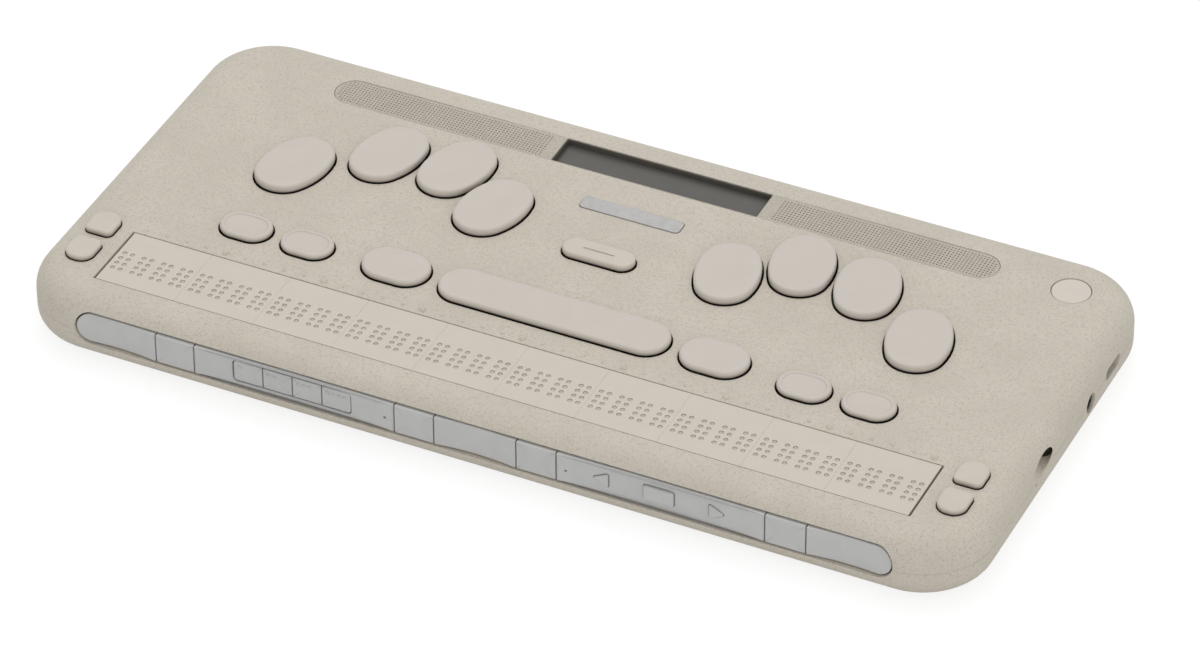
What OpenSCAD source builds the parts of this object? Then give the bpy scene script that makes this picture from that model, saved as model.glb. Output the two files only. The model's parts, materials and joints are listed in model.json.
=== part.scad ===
/* [Body] */
// Width of the case, left to right
body_w = 301.4; // [300:0.2:330]
// Depth of the case, front to rear
body_d = 144.8; // [144.4:0.2:165]
// Thickness of the case without its feet
body_h = 20; // [19.6:0.2:24]
// Plan radius of the four corners
corner_r = 21.8; // [21:0.1:25]
// Radius that rolls the top face down to the wall
edge_r = 8.5; // [7:0.25:9]
// Radius of the lower edge
belly_r = 6; // [5.5:0.25:6.5]
// Height of the parting line above the case's bottom
parting_h = 9.5; // [9:0.1:10]
// Wall thickness of both shells
wall = 2; // [1.8:0.1:2.2]

/* [Braille display] */
// Least room beside the display, which the scroll keys stand in
display_room = 21.5; // [21:0.1:23]
// Cells under each cap
cells_per_cap = 4; // [4]
// Pitch of the cells
cell_pitch = 6.42; // [6.3:0.01:6.42]
// Pitch of the dots within a cell
dot_pitch = 2.5; // [2.4:0.01:2.6]
// Radius of a pin
pin_r = 0.65; // [0.5:0.01:0.7]
// Length of a pin
pin_len = 4.6; // [4.4:0.1:4.8]
// How far the pins rise
pin_travel = 0.8; // [0.5:0.05:1]
// Depth of a cap, front to rear
cap_d = 24; // [23:0.1:25]
// Thickness of a cap's face
cap_face_t = 2.2; // [1.8:0.1:2.5]
// Distance from the case's front to the display opening
display_inset = 12.1; // [11.8:0.1:13]
// Distance of the top dot row from the opening's rear edge
dot_row_inset = 10.1; // [9.5:0.1:10.5]
// Clear gap at the two ends of the display
display_end_gap = 0.7; // [0.3:0.1:1]
// Radius of an index bump
bump_r = 0.65; // [0.5:0.05:0.8]
// Radius of every fifth index bump
big_bump_r = 1.2; // [1:0.05:1.4]

/* [Keys] */
// Half width of a large oval key
oval_a = 9.75; // [9.4:0.05:9.9]
// Half length of a large oval key
oval_b = 13.8; // [13.4:0.05:14]
// Radius of the ends of a large oval key
oval_end_r = 8.85; // [8.4:0.05:9]
// Lean of the large oval keys
oval_lean = 12.4; // [10:0.2:14]
// Height of the large oval keys above the case
oval_h = 2.4; // [2:0.1:2.8]
// Length of the bar key
bar_key_l = 73; // [70:0.5:74]
// Depth of the bar key
bar_key_d = 14.8; // [14:0.1:15]
// Length of a medium key
mid_key_l = 21; // [20:0.1:21.5]
// Depth of a medium key
mid_key_d = 14.6; // [14:0.1:15]
// Length of a small key
small_key_l = 16.2; // [15:0.1:16.5]
// Depth of a small key
small_key_d = 11.5; // [11:0.1:12]
// Length of the pill key
pill_l = 22.8; // [21:0.1:24]
// Depth of the pill key
pill_d = 8.1; // [7.5:0.1:8.5]
// Height of the bar, medium and pill keys above the case
key_h = 2; // [1.6:0.1:2.4]
// Height of the small keys above the case
small_key_h = 1.7; // [1.4:0.1:2]
// Width of a scroll key
scroll_w = 9; // [8.6:0.1:9.2]
// Depth of a scroll key
scroll_d = 10.2; // [9.8:0.1:10.6]
// Height of the scroll keys above the case
scroll_h = 1.7; // [1.4:0.1:2]
// Radius of the power button
power_r = 5.85; // [5.4:0.05:6]
// Clear gap round each key
key_gap = 0.35; // [0.25:0.05:0.4]
// Travel of the large, medium, small and bar keys
key_travel = 1.5; // [1:0.1:1.6]
// Travel of the pill key
pill_travel = 1; // [0.6:0.1:1.2]
// Travel of the power button
power_travel = 0.6; // [0.4:0.1:0.8]
// Travel of the scroll keys
scroll_travel = 0.8; // [0.5:0.1:0.9]
// Thickness of a key's retaining flange
flange_t = 1; // [0.8:0.1:1.2]
// Width of a key's retaining flange
flange_w = 0.9; // [0.7:0.1:1]

/* [Front bar] */
// Height of the front bar
bar_h = 9.7; // [9:0.1:10]
// Distance of the front bar's ends from the case's sides
bar_end = 22; // [21.6:0.1:23]
// Distance of the bar's face behind the case's front
bar_inset = 0.5; // [0.3:0.05:0.7]
// Distance of the bar's middle below the case's top
bar_drop = 9.3; // [9:0.1:9.5]
// Inner edge of the inner thumb keys
thumb_in_start = 13; // [12:0.1:14]
// Outer edge of the inner thumb keys
thumb_in_stop = 25.6; // [25:0.1:26]
// Inner edge of the outer thumb keys
thumb_out_start = 90.15; // [90:0.05:91]
// Outer edge of the outer thumb keys
thumb_out_stop = 102.7; // [102:0.1:104]
// Gap between neighbours along the bar
bar_gap = 0.35; // [0.2:0.05:0.4]
// Travel of the front keys
front_travel = 0.6; // [0.4:0.05:0.7]
// Depth of the scoop in the panels and end keys
scoop = 0.8; // [0.7:0.1:1]
// Length of a program key
program_l = 9.3; // [9:0.1:9.4]
// Height of a program key
program_h = 6.9; // [6.5:0.1:7]
// Size of a media key
media_s = 5; // [4.6:0.1:5.2]

/* [Rear strip] */
// Distance of the rear strip's ends from the case's sides
strip_end = 42.6; // [41:0.1:44]
// Depth of the rear strip
strip_d = 12.1; // [11.8:0.1:12.2]
// Distance of the strip's middle from the case's rear
strip_inset = 18.35; // [18:0.05:18.8]
// Width of the display window
window_w = 66.3; // [64:0.1:68]
// Depth of the display window
window_d = 11.5; // [11:0.1:11.6]
// Pitch of the grille holes
hole_pitch = 2.1; // [1.8:0.1:2.4]
// Radius of a grille hole
hole_r = 0.5; // [0.4:0.05:0.7]

/* [Sockets and feet] */
// Bore radius of the audio socket
jack_r = 1.8; // [1.76:0.01:1.85]
// Depth of the audio socket's bore
jack_depth = 14; // [13:0.5:16]
// Width of the charging slot
slot_w = 10.8; // [10:0.1:11.5]
// Height of the charging slot
slot_h = 3.8; // [3.6:0.1:4]
// Radius of a foot
foot_r = 7; // [5:0.5:8]
// How far the feet stand below the case
foot_h = 1; // [0.8:0.1:1.5]

/* [Hidden] */
$fn = 96;

case_col = [0.78, 0.75, 0.70];
key_col = [0.80, 0.765, 0.73];
cap_col = [0.815, 0.78, 0.72];
bar_col = [0.69, 0.69, 0.69];
dark_col = [0.36, 0.36, 0.34];
board_col = [0.10, 0.34, 0.22];
steel_col = [0.72, 0.73, 0.74];

// Heights above the surface that the part stands on
z_bot = foot_h;
z_top = z_bot + body_h;
z_part = z_bot + parting_h;
z_low = z_bot + belly_r;
z_edge = z_top - edge_r;
z_roof = z_top - wall;
z_floor = z_bot + wall;

// Clearances
seat_gap = 0.3;
fit_gap = 0.1;
stop_gap = 0.2;
overlap = 0.5;

// Straight half lengths of the plan outline
half_x = body_w / 2 - corner_r;
half_y = body_d / 2 - corner_r;

// Centre of the arc that rolls the top face down to the wall
c_edge = [corner_r - edge_r, z_edge];

// Distance outwards from the corner axes or the straight lines between them
function reach(p) = norm([max(abs(p.x) - half_x, 0), max(abs(p.y) - half_y, 0)]);
// Height of the top face, set in by o, at distance u
function roof(u, o) = u <= c_edge.x ? z_top - o
    : z_edge + sqrt(pow(edge_r - o, 2) - pow(u - c_edge.x, 2));

// Lines that the keys are placed from: the display opening's rear edge and the rear strip's middle
display_d = cap_d + 2 * seat_gap;
display_front = -body_d / 2 + display_inset;
display_y = display_front + display_d / 2;
display_rear = display_front + display_d;
strip_y = body_d / 2 - strip_inset;

// Keyboard layout, right half: large keys from the inside out, the outermost in line with the small keys
small_at = [79.4, 99.5];
small_back = 15.05;
small_y = display_rear + small_back;
oval_x = [37.95, 56.05, 77.6, 100.7];
oval_in = [35.95, 23.4, 25.35];
oval_back = 33;
oval_at = [for (k = [0:3]) [oval_x[k], k < 3 ? strip_y - oval_in[k] : small_y + oval_back]];
mid_out = 14.4;
mid_x = bar_key_l / 2 + mid_out;
bar_key_back = 16.3;
bar_key_y = display_rear + bar_key_back;
pill_back = 30.1;
pill_y = bar_key_y + pill_back;
pill_groove_l = 10;
pill_groove_r = 0.35;
scroll_in = 12.65;
scroll_gap = 13.5;
scroll_back = 11.25;
scroll_y = [display_y + scroll_back, display_y + scroll_back - scroll_gap];
power_in = [19.8, 18.35];
power_at = [body_w / 2 - power_in.x, body_d / 2 - power_in.y];
key_round = 1.2;
key_under = z_roof - seat_gap - flange_t;
tab_w = 8;
tab_l = 1.6;
dish_r = 6.6;
dish_depth = 0.35;

// Braille display: as many caps as the case has room for
cap_l = cells_per_cap * cell_pitch;
cap_count = floor((body_w - 2 * display_room) / cap_l);
cell_count = cap_count * cells_per_cap;
display_l = cell_count * cell_pitch + 2 * display_end_gap;
dot_y = display_rear - dot_row_inset;
cap_sink = 0.15;
cap_top = z_top - cap_sink;
cap_wall = 0.8;
cap_shoulder = 2.2;
cap_foot = cap_top - cap_face_t - cap_shoulder - pin_travel;
cap_slit = 0.12;
pin_sink = 0.2;
pin_top = cap_top - pin_sink;
bump_in = 2.1;
bump_y = display_rear + bump_in;
tail_d = 30;
tail_h = 5.6;
tail_slit = 0.4;

// Boards
board_t = 1.2;
switch_s = 4.6;
switch_h = 2;
plunger_r = 1.2;
key_board_top = key_under - key_travel - stop_gap - switch_h;
key_board_x = 116;
key_board_back = 6.2;
key_board_y = display_rear + key_board_back;
bar_switch_x = 24;
arm_w = 10;
board_post_r = 2.2;
board_post_x = 65;
board_post_back = 13.4;
board_post_in = 14.05;
board_post_y = [bar_key_y + board_post_back, strip_y - board_post_in];
boss_r = 3;
cell_boss_h = 1;
cell_board_z = z_floor + cell_boss_h;
cell_boss_in = [19, 4, 46];
main_board_drop = 1.5;
main_board_top = z_part - main_board_drop;
main_board_x = -12;
main_board_y = 2;
main_board_d = 58;
main_boss_x = [4, 62];
main_boss_y = [8, 54];
chip_h = 1.4;
chip_at = [[20, 20], [48, 32], [84, 14], [86, 40]];
chip_s = 14;
rib_w = 4;
rib_x = [32, 96];
battery_x = -22;
battery_in = 32.7;
battery_y = 4;
battery_rear = 6.2;
battery_h = 7.5;

// Front bar
bar_y = -body_d / 2 + bar_inset;
bar_z = z_top - bar_drop;
bar_r = bar_h / 2;
bar_l = body_w - 2 * bar_end;
bar_win = 0.25;
land_in = 3.6;
land_y = bar_y + land_in;
bar_flange = 0.75;
front_back = land_y + seat_gap + flange_t;
front_switch_d = 1.6;
front_board_y = front_back + front_travel + stop_gap + front_switch_d;
panel_t = 2;
recess_x = -58.65;
program_gap = 0.22;
program_pitch = program_l + program_gap;
program_row = 3 * program_pitch + program_l;
program_r = 1;
media_at = [39.3, 57.4, 75.5];
media_wide = 9.3;
pin_hole_x = 28.6;
pin_hole_r = 0.45;

// Rear strip
strip_l = body_w - 2 * strip_end;
strip_r = strip_d / 2;
strip_sink = 0.15;
strip_t = 1.95;
strip_under = z_top - strip_sink - strip_t;
ledge_w = 1.2;
ledge_t = 1.5;
margin_w = 4.9;
speaker_at = 73;
speaker_l = 44;
speaker_t = 4;
lcd_over = 3;
glass_t = 1;
lcd_t = 2.5;

// Name plate
plate_in = 20.65;
plate_at = strip_y - plate_in;
plate_l = 32.4;
plate_d = 5.7;
plate_r = 1;
plate_t = 0.7;
plate_sink = 0.4;

// Right side
slot_y = 38.4;
slot_z = z_part + 0.1;
jack_y = 21.5;
jack_z = z_part - 1.1;
jack_barrel_r = 2.95;
strap_y = -15;
strap_z = z_part + 3;
strap_r = 2.6;
strap_tilt = 22;
strap_deep = 9;
strap_rim_d = 8;
pin_hole_y = -19.7;
pin_hole_z = z_part - 0.9;
rim_in = 1.3;

// Fasteners and feet
screw_in = 14.2;
screw_rear_in = 38.7;
screw_front = 11.9;
screw_mid = 8;
screw_back = 8.2;
screw_at = [[body_w / 2 - screw_in, screw_front - body_d / 2], [body_w / 2 - screw_in, screw_mid],
            [body_w / 2 - screw_rear_in, body_d / 2 - screw_back]];
battery_d = body_d / 2 - screw_back - battery_rear - battery_y;
post_r = 3.4;
screw_r = 1.15;
head_r = 2.4;
head_h = 1.6;
head_sink = 2.2;
foot_in = [32.7, 20.4];
foot_at = [body_w / 2 - foot_in.x, body_d / 2 - foot_in.y];
foot_sink = 0.6;

// Rounded-edge section of the case, set in by o: u outwards, z up
module section(o) {
    translate([0, z_bot + o]) square([corner_r - belly_r, belly_r - o]);
    intersection() {
        translate([corner_r - belly_r, z_low]) circle(belly_r - o);
        translate([corner_r - belly_r, z_bot]) square([belly_r, belly_r]);
    }
    translate([0, z_low]) square([corner_r - o, z_edge - z_low]);
    translate([0, z_edge]) square([c_edge.x, edge_r - o]);
    intersection() {
        translate(c_edge) circle(edge_r - o);
        translate(c_edge) square([edge_r, edge_r]);
    }
}

// Wall section between two heights
module wall_section(z0, z1) {
    intersection() {
        difference() {
            section(0);
            section(wall);
        }
        translate([0, z0]) square([corner_r, z1 - z0]);
    }
}

// Carries a section round the plan outline
module around() {
    for (m = [0, 1]) {
        mirror([m, 0, 0]) translate([half_x, half_y, 0]) rotate([90, 0, 0])
            linear_extrude(2 * half_y) children();
        mirror([0, m, 0]) translate([-half_x, half_y, 0]) rotate([90, 0, 90])
            linear_extrude(2 * half_x) children();
        for (n = [0, 1])
            mirror([m, 0, 0]) mirror([0, n, 0]) translate([half_x, half_y, 0])
                rotate_extrude(angle = 90) children();
    }
}

// Solid rim inside the front wall, which the front bar seats in
module front_rim(z0, z1) {
    depth = body_d / 2 + land_y;
    translate([-half_x - wall * 2.5, 0, 0]) mirror([0, 1, 0]) translate([0, half_y, 0])
        rotate([90, 0, 90]) linear_extrude(2 * half_x + wall * 5) intersection() {
            section(rim_in);
            translate([corner_r - depth, z0]) square([depth, z1 - z0]);
        }
}

// Solid rim inside the right wall, which the strap hole is drilled into
module strap_rim(z0, z1) {
    rear = strap_y + strap_deep + strap_r + wall;
    translate([half_x, rear, 0]) rotate([90, 0, 0])
        linear_extrude(rear - strap_y + strap_rim_d) intersection() {
            section(rim_in);
            translate([corner_r - strap_rim_d, z0]) square([strap_rim_d, z1 - z0]);
        }
}

// Stadium outline of length l and depth d
module stadium(l, d) {
    square([l - d, d], center = true);
    for (s = [-1, 1]) translate([s * (l - d) / 2, 0]) circle(d / 2);
}

// Oval outline of four arcs that meet smoothly
module oval(a, b, e) {
    side_r = ((a * a - e * e) + pow(b - e, 2)) / (2 * (a - e));
    off = side_r - a;
    meet_y = (b - e) * side_r / (side_r - e);
    for (s = [-1, 1]) translate([0, s * (b - e)]) circle(e);
    intersection() {
        translate([-off, 0]) circle(side_r);
        translate([off, 0]) circle(side_r);
        square([4 * a, 2 * meet_y], center = true);
    }
}

// Half section of a key: straight side, rounded top edge
module key_section(r, h, f) {
    square([r, h - f]);
    square([r - f, h]);
    translate([r - f, h - f]) circle(f);
}

// Stadium key with a rounded top edge, from z0 up to z1
module stadium_key(l, d, z0, z1, f) {
    r = d / 2;
    straight = l - d;
    translate([0, 0, z0]) {
        for (s = [0, 1]) mirror([s, 0, 0]) translate([straight / 2, 0, 0]) rotate([0, 0, -90])
            rotate_extrude(angle = 180) key_section(r, z1 - z0, f);
        translate([-straight / 2, 0, 0]) rotate([90, 0, 90]) linear_extrude(straight) {
            key_section(r, z1 - z0, f);
            mirror([1, 0]) key_section(r, z1 - z0, f);
        }
    }
}

// Oval key with a rounded top edge, from z0 up to z1: two end sectors and two side sectors
module oval_key(a, b, e, z0, z1, f) {
    side_r = ((a * a - e * e) + pow(b - e, 2)) / (2 * (a - e));
    off = side_r - a;
    turn = atan2(b - e, off);
    translate([0, 0, z0]) {
        for (s = [0, 1]) mirror([0, s, 0]) translate([0, b - e, 0]) rotate([0, 0, turn])
            rotate_extrude(angle = 180 - 2 * turn) key_section(e, z1 - z0, f);
        for (s = [0, 1]) mirror([s, 0, 0]) intersection() {
            translate([-off, 0, 0]) rotate([0, 0, -turn])
                rotate_extrude(angle = 2 * turn) key_section(side_r, z1 - z0, f);
            translate([0, -b, 0]) cube([2 * a, 2 * b, z1 - z0]);
        }
    }
}

// Screw posts and pillars stand at these places
module at_screws() {
    for (p = screw_at, s = [-1, 1]) translate([s * p.x, p.y, 0]) children();
}

// Openings in the top face
module key_holes() {
    deep = 3 * wall;
    translate([0, 0, z_top - deep]) linear_extrude(2 * deep) {
        for (s = [-1, 1]) {
            for (p = oval_at) translate([s * p.x, p.y]) rotate(s * oval_lean)
                oval(oval_a + key_gap, oval_b + key_gap, oval_end_r + key_gap);
            for (x = small_at) translate([s * x, small_y])
                stadium(small_key_l + 2 * key_gap, small_key_d + 2 * key_gap);
            translate([s * mid_x, bar_key_y])
                stadium(mid_key_l + 2 * key_gap, mid_key_d + 2 * key_gap);
            for (k = [0, 1]) translate([s * (body_w / 2 - scroll_in), scroll_y[k]])
                scroll_outline(k, key_gap);
        }
        translate([0, bar_key_y]) stadium(bar_key_l + 2 * key_gap, bar_key_d + 2 * key_gap);
        translate([0, pill_y]) stadium(pill_l + 2 * key_gap, pill_d + 2 * key_gap);
        translate(power_at) circle(power_r + key_gap);
    }
}

// Scroll key outline, arched at one end, grown by g: k is 0 at the rear and 1 at the front
module scroll_outline(k, g) {
    w = scroll_w + 2 * g;
    d = scroll_d + 2 * g;
    arch = 4 + g;
    small = 1.2 + g;
    mirror([0, k]) {
        translate([-w / 2, -d / 2 + small]) square([w, d - arch - small]);
        translate([-w / 2 + small, -d / 2]) square([w - 2 * small, d - arch]);
        translate([-w / 2 + arch, 0]) square([w - 2 * arch, d / 2]);
        for (s = [-1, 1]) {
            translate([s * (w / 2 - small), -d / 2 + small]) circle(small);
            translate([s * (w / 2 - arch), d / 2 - arch]) circle(arch);
        }
    }
}

// Front bar outline, standing in the plane y = 0, between two x values, grown by g
module bar_outline(x0, x1, g) {
    intersection() {
        stadium(bar_l + 2 * g, bar_h + 2 * g);
        translate([x0, -bar_h]) square([x1 - x0, 2 * bar_h]);
    }
}

// Stands a flat outline upright at height bar_z, from y0 back to y1
module upright(y0, y1) {
    translate([0, y1, bar_z]) rotate([90, 0, 0]) linear_extrude(y1 - y0) children();
}

// Cuts in the front wall: the bar's window and the pocket for its flanges
module front_cuts() {
    upright(-body_d / 2 - 1, front_back) stadium(bar_l + 2 * bar_win, bar_h + 2 * bar_win);
    grow = bar_flange + bar_win;
    upright(land_y, display_front - 2) stadium(bar_l + 2 * grow, bar_h + 2 * grow);
}

// Cuts in the right wall: charging slot, audio hole, slanting strap hole and pin hole
module side_cuts() {
    x0 = body_w / 2 - wall - 4;
    translate([x0, slot_y, slot_z]) rotate([90, 0, 90]) linear_extrude(10) stadium(slot_w, slot_h);
    translate([x0, jack_y, jack_z]) rotate([0, 90, 0]) cylinder(r = jack_barrel_r + fit_gap, h = 10);
    translate([body_w / 2, strap_y, strap_z]) rotate([-90, 0, strap_tilt])
        translate([0, 0, -2 * strap_deep]) cylinder(r = strap_r, h = 3 * strap_deep);
    translate([x0, pin_hole_y, pin_hole_z]) rotate([0, 90, 0]) cylinder(r = pin_hole_r, h = 10, $fn = 32);
}

module top_case() color(case_col) {
    difference() {
        union() {
            around() wall_section(z_part, z_top);
            translate([-half_x, -half_y, z_roof]) cube([2 * half_x, 2 * half_y, wall]);
            front_rim(z_part, bar_z + bar_r + bar_flange + bar_win + overlap);
            strap_rim(z_part, strap_z + strap_r + wall);
            translate([0, strip_y, strip_under - ledge_t])
                linear_extrude(z_roof - strip_under + ledge_t + overlap)
                    stadium(strip_l + 2 * ledge_w, strip_d + 2 * ledge_w);
            for (p = screw_at, s = [-1, 1]) translate([s * p.x, p.y, z_part])
                cylinder(r = post_r, h = roof(reach(p) + post_r, wall / 2) - z_part);
            board_posts();
            index_bumps();
        }
        key_holes();
        front_cuts();
        side_cuts();
        translate([-display_l / 2, display_front, z_top - 3 * wall])
            cube([display_l, display_d, 4 * wall]);
        translate([0, strip_y, strip_under]) linear_extrude(2 * wall)
            stadium(strip_l + 2 * fit_gap, strip_d + 2 * fit_gap);
        translate([0, strip_y, strip_under - ledge_t - overlap]) linear_extrude(2 * wall + ledge_t)
            stadium(strip_l - 2 * ledge_w, strip_d - 2 * ledge_w);
        lcd_room();
        translate([0, plate_at, z_top - plate_sink]) linear_extrude(wall)
            rounded(plate_l + 2 * fit_gap, plate_d + 2 * fit_gap, plate_r + fit_gap);
        for (p = screw_at, s = [-1, 1]) translate([s * p.x, p.y, z_part - overlap])
            cylinder(r = screw_r + fit_gap / 2, h = z_roof - wall - z_part, $fn = 32);
    }
}

// Room for the display glass under the strip
module lcd_room() {
    room_w = window_w + 2 * (lcd_over + fit_gap);
    room_d = window_d + 2 * (lcd_over + fit_gap);
    translate([-room_w / 2, strip_y - room_d / 2, strip_under - ledge_t - lcd_t])
        cube([room_w, room_d, ledge_t + lcd_t]);
}

// Posts that the keyboard board hangs from
module board_posts() {
    for (s = [-1:1], y = board_post_y) translate([s * board_post_x, y, key_board_top])
        cylinder(r = board_post_r, h = z_roof + overlap - key_board_top);
}

// Raised bumps that count the cells, every fifth one larger
module index_bumps() {
    for (i = [0:cell_count - 1]) {
        r = i % 5 == 4 ? big_bump_r : bump_r;
        x = (i - (cell_count - 1) / 2) * cell_pitch;
        translate([x, bump_y, z_top - r * 0.35]) sphere(r, $fn = 32);
    }
}

module bottom_case() color(case_col) {
    difference() {
        union() {
            around() wall_section(z_bot, z_part);
            translate([-half_x, -half_y, z_bot]) cube([2 * half_x, 2 * half_y, wall]);
            front_rim(bar_z - bar_r - bar_flange - bar_win - overlap, z_part);
            strap_rim(strap_z - strap_r - wall, z_part);
            at_screws() translate([0, 0, z_bot + wall / 2])
                cylinder(r = post_r, h = z_part - z_bot - wall / 2);
            board_bosses();
        }
        front_cuts();
        side_cuts();
        at_screws() {
            translate([0, 0, z_bot - overlap]) cylinder(r = head_r + 2 * fit_gap, h = head_sink + overlap);
            cylinder(r = screw_r + 2 * fit_gap, h = z_part + overlap, $fn = 32);
        }
        for (sx = [-1, 1], sy = [-1, 1]) translate([sx * foot_at.x, sy * foot_at.y, z_bot - overlap])
            cylinder(r = foot_r + fit_gap, h = foot_sink + overlap);
    }
}

// Bosses that the cell, main and front boards stand on
module board_bosses() {
    low = z_floor - overlap;
    cell_x = display_l / 2 - cell_boss_in[0];
    for (s = [-1:1], k = [1, 2]) translate([s * cell_x, display_front + cell_boss_in[k], low])
        cylinder(r = boss_r, h = cell_board_z - low);
    for (x = concat(main_boss_x, jack_back() - 4 * rib_w), y = main_boss_y) translate([x, y, low])
        cylinder(r = boss_r, h = main_board_top - board_t - low);
    for (x = rib_x, s = [-1, 1]) translate([s * x - rib_w / 2, front_board_y - 1, low])
        cube([rib_w, board_t + 2, bar_z - bar_r - low]);
}

// Rectangle of length l and depth d with corners of radius r
module rounded(l, d, r) {
    square([l - 2 * r, d], center = true);
    square([l, d - 2 * r], center = true);
    for (sx = [-1, 1], sy = [-1, 1]) translate([sx * (l / 2 - r), sy * (d / 2 - r)]) circle(r, $fn = 32);
}

module name_plate() color(steel_col)
    translate([0, plate_at, z_top - plate_sink]) linear_extrude(plate_t)
        rounded(plate_l, plate_d, plate_r);

// Rear strip: grille holes in rows at both ends, plain margins beside the display window
module speaker_panel() color(case_col) {
    first = window_w / 2 + margin_w + hole_r;
    columns = floor((strip_l / 2 - hole_pitch - first) / hole_pitch);
    rows = floor((strip_r - hole_pitch / 2) / hole_pitch);
    end_x = strip_l / 2 - strip_r;
    translate([0, strip_y, strip_under]) linear_extrude(strip_t) difference() {
        stadium(strip_l, strip_d);
        square([window_w, window_d], center = true);
        for (s = [-1, 1], i = [0:columns], j = [-rows:rows]) {
            x = first + i * hole_pitch;
            y = j * hole_pitch;
            if (norm([max(x - end_x, 0), y]) < strip_r - hole_r - 0.4)
                translate([s * x, y]) circle(hole_r, $fn = 16);
        }
    }
}

module lcd_window() color(dark_col)
    translate([-window_w / 2 - lcd_over, strip_y - window_d / 2 - lcd_over, strip_under - glass_t])
        cube([window_w + 2 * lcd_over, window_d + 2 * lcd_over, glass_t]);

module lcd_module() color(steel_col)
    translate([-window_w / 2 - lcd_over, strip_y - window_d / 2 - lcd_over, strip_under - glass_t - lcd_t])
        cube([window_w + 2 * lcd_over, window_d + 2 * lcd_over, lcd_t]);

// Oval speaker that seats under the strip's ledge, with a dished cone
module speaker(s) color(dark_col) {
    top = strip_under - ledge_t;
    translate([s * speaker_at, strip_y, top - speaker_t]) difference() {
        linear_extrude(speaker_t) stadium(speaker_l, strip_d + 2 * ledge_w);
        translate([0, 0, speaker_t - 1]) linear_extrude(2) stadium(speaker_l - 8, strip_d - 4);
    }
}

// Ten caps with a hole for every pin
module cell_caps() color(cap_col) {
    for (k = [0:cap_count - 1]) difference() {
        x0 = (k - cap_count / 2) * cap_l;
        translate([x0 + cap_slit / 2, display_y - cap_d / 2, cap_foot])
            cube([cap_l - cap_slit, cap_d, cap_top - cap_foot]);
        translate([x0 + cap_slit / 2 + cap_wall, display_y - cap_d / 2 + cap_wall, cap_foot - overlap])
            cube([cap_l - cap_slit - 2 * cap_wall, cap_d - 2 * cap_wall,
                  cap_top - cap_face_t - cap_foot + overlap]);
        for (c = [0:cells_per_cap - 1], side = [-1, 1], row = [0:3])
            translate([x0 + (c + 0.5) * cell_pitch + side * dot_pitch / 2, dot_y - row * dot_pitch, cap_foot])
                cylinder(r = pin_r + fit_gap, h = 2 * cap_face_t + 4, $fn = 24);
    }
}

// Pins of one column of every cell, round at the tip: side is -1 on the left and 1 on the right
module pins(side) color(cap_col) {
    for (i = [0:cell_count - 1], row = [0:3])
        translate([(i - (cell_count - 1) / 2) * cell_pitch + side * dot_pitch / 2,
                   dot_y - row * dot_pitch, pin_top - pin_len])
            rotate_extrude($fn = 24) {
                square([pin_r, pin_len - pin_r]);
                intersection() {
                    translate([0, pin_len - pin_r]) circle(pin_r);
                    square([pin_r, pin_len]);
                }
            }
}

// Ten cell modules: a tower under each cap and a tail of piezo strips behind it
module cell_modules() color(dark_col) {
    low = cell_board_z + board_t;
    for (k = [0:cap_count - 1]) {
        x0 = (k - cap_count / 2) * cap_l + cap_slit / 2;
        difference() {
            union() {
                translate([x0, display_y - cap_d / 2, low]) cube([cap_l - cap_slit, cap_d, cap_foot - low]);
                translate([x0, display_y, low]) cube([cap_l - cap_slit, cap_d / 2 + tail_d, tail_h]);
            }
            for (c = [1:cells_per_cap - 1])
                translate([x0 + c * cell_pitch - tail_slit / 2, display_y + cap_d / 2, low - 1])
                    cube([tail_slit, tail_d + 1, tail_h + 2]);
        }
    }
}

module cell_board() color(board_col)
    translate([-display_l / 2 + 1, display_y - cap_d / 2, cell_board_z])
        cube([display_l - 2, cap_d + tail_d, board_t]);

// Keyboard board with its switches: arms reach out to the scroll keys and the power button
module key_board() color(board_col) {
    top = key_board_top;
    rear = strip_y - strip_r - 2.4;
    scroll_x = body_w / 2 - scroll_in;
    arm_front = scroll_y[1] - scroll_d / 2;
    arm_y = key_board_y + arm_w / 2;
    power_x = oval_at[3].x;
    translate([0, 0, top - board_t]) linear_extrude(board_t) {
        translate([-key_board_x, key_board_y]) square([2 * key_board_x, rear - key_board_y]);
        for (s = [0, 1]) mirror([s, 0]) {
            translate([key_board_x - 1, key_board_y]) square([scroll_x - key_board_x + 1, arm_w / 2]);
            translate([scroll_x - arm_w / 2, arm_front]) square([arm_w, arm_y - arm_front]);
        }
        translate([power_x, rear - arm_w]) square([power_at.x - power_x, arm_w]);
        translate([power_at.x - arm_w / 2, rear - arm_w]) square([arm_w, power_at.y + 1.5 * arm_w - rear]);
    }
    for (s = [-1, 1]) {
        for (p = oval_at) tact([s * p.x, p.y], key_under - key_travel);
        for (x = small_at) tact([s * x, small_y], key_under - key_travel);
        tact([s * mid_x, bar_key_y], key_under - key_travel);
        tact([s * bar_switch_x, bar_key_y], key_under - key_travel);
        for (y = scroll_y) tact([s * scroll_x, y], scroll_under() - scroll_travel);
    }
    tact([0, pill_y], key_under - pill_travel);
    tact(power_at, power_under() - power_travel);
}

// Switch on the keyboard board, whose plunger stops just short of a pressed key at height z
module tact(p, z) {
    h = z - stop_gap - key_board_top;
    translate([p.x, p.y, key_board_top - board_t / 2]) {
        translate([-switch_s / 2, -switch_s / 2, 0]) cube([switch_s, switch_s, board_t / 2 + h * 0.7]);
        cylinder(r = plunger_r, h = board_t / 2 + h, $fn = 32);
    }
}

// Main board with its chips: a tab carries the charging socket and a notch clears the audio socket
module main_board() color(board_col) {
    edge = body_w / 2 - wall - 4;
    translate([0, 0, main_board_top - board_t]) linear_extrude(board_t) {
        translate([main_board_x, main_board_y]) square([jack_back() - main_board_x, main_board_d]);
        translate([jack_back() - 1, slot_y - slot_w]) square([edge - jack_back() + 1, 2 * slot_w]);
    }
    for (c = chip_at)
        translate([c.x, c.y, main_board_top - board_t / 2]) cube([chip_s, chip_s, board_t / 2 + chip_h]);
}

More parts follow.
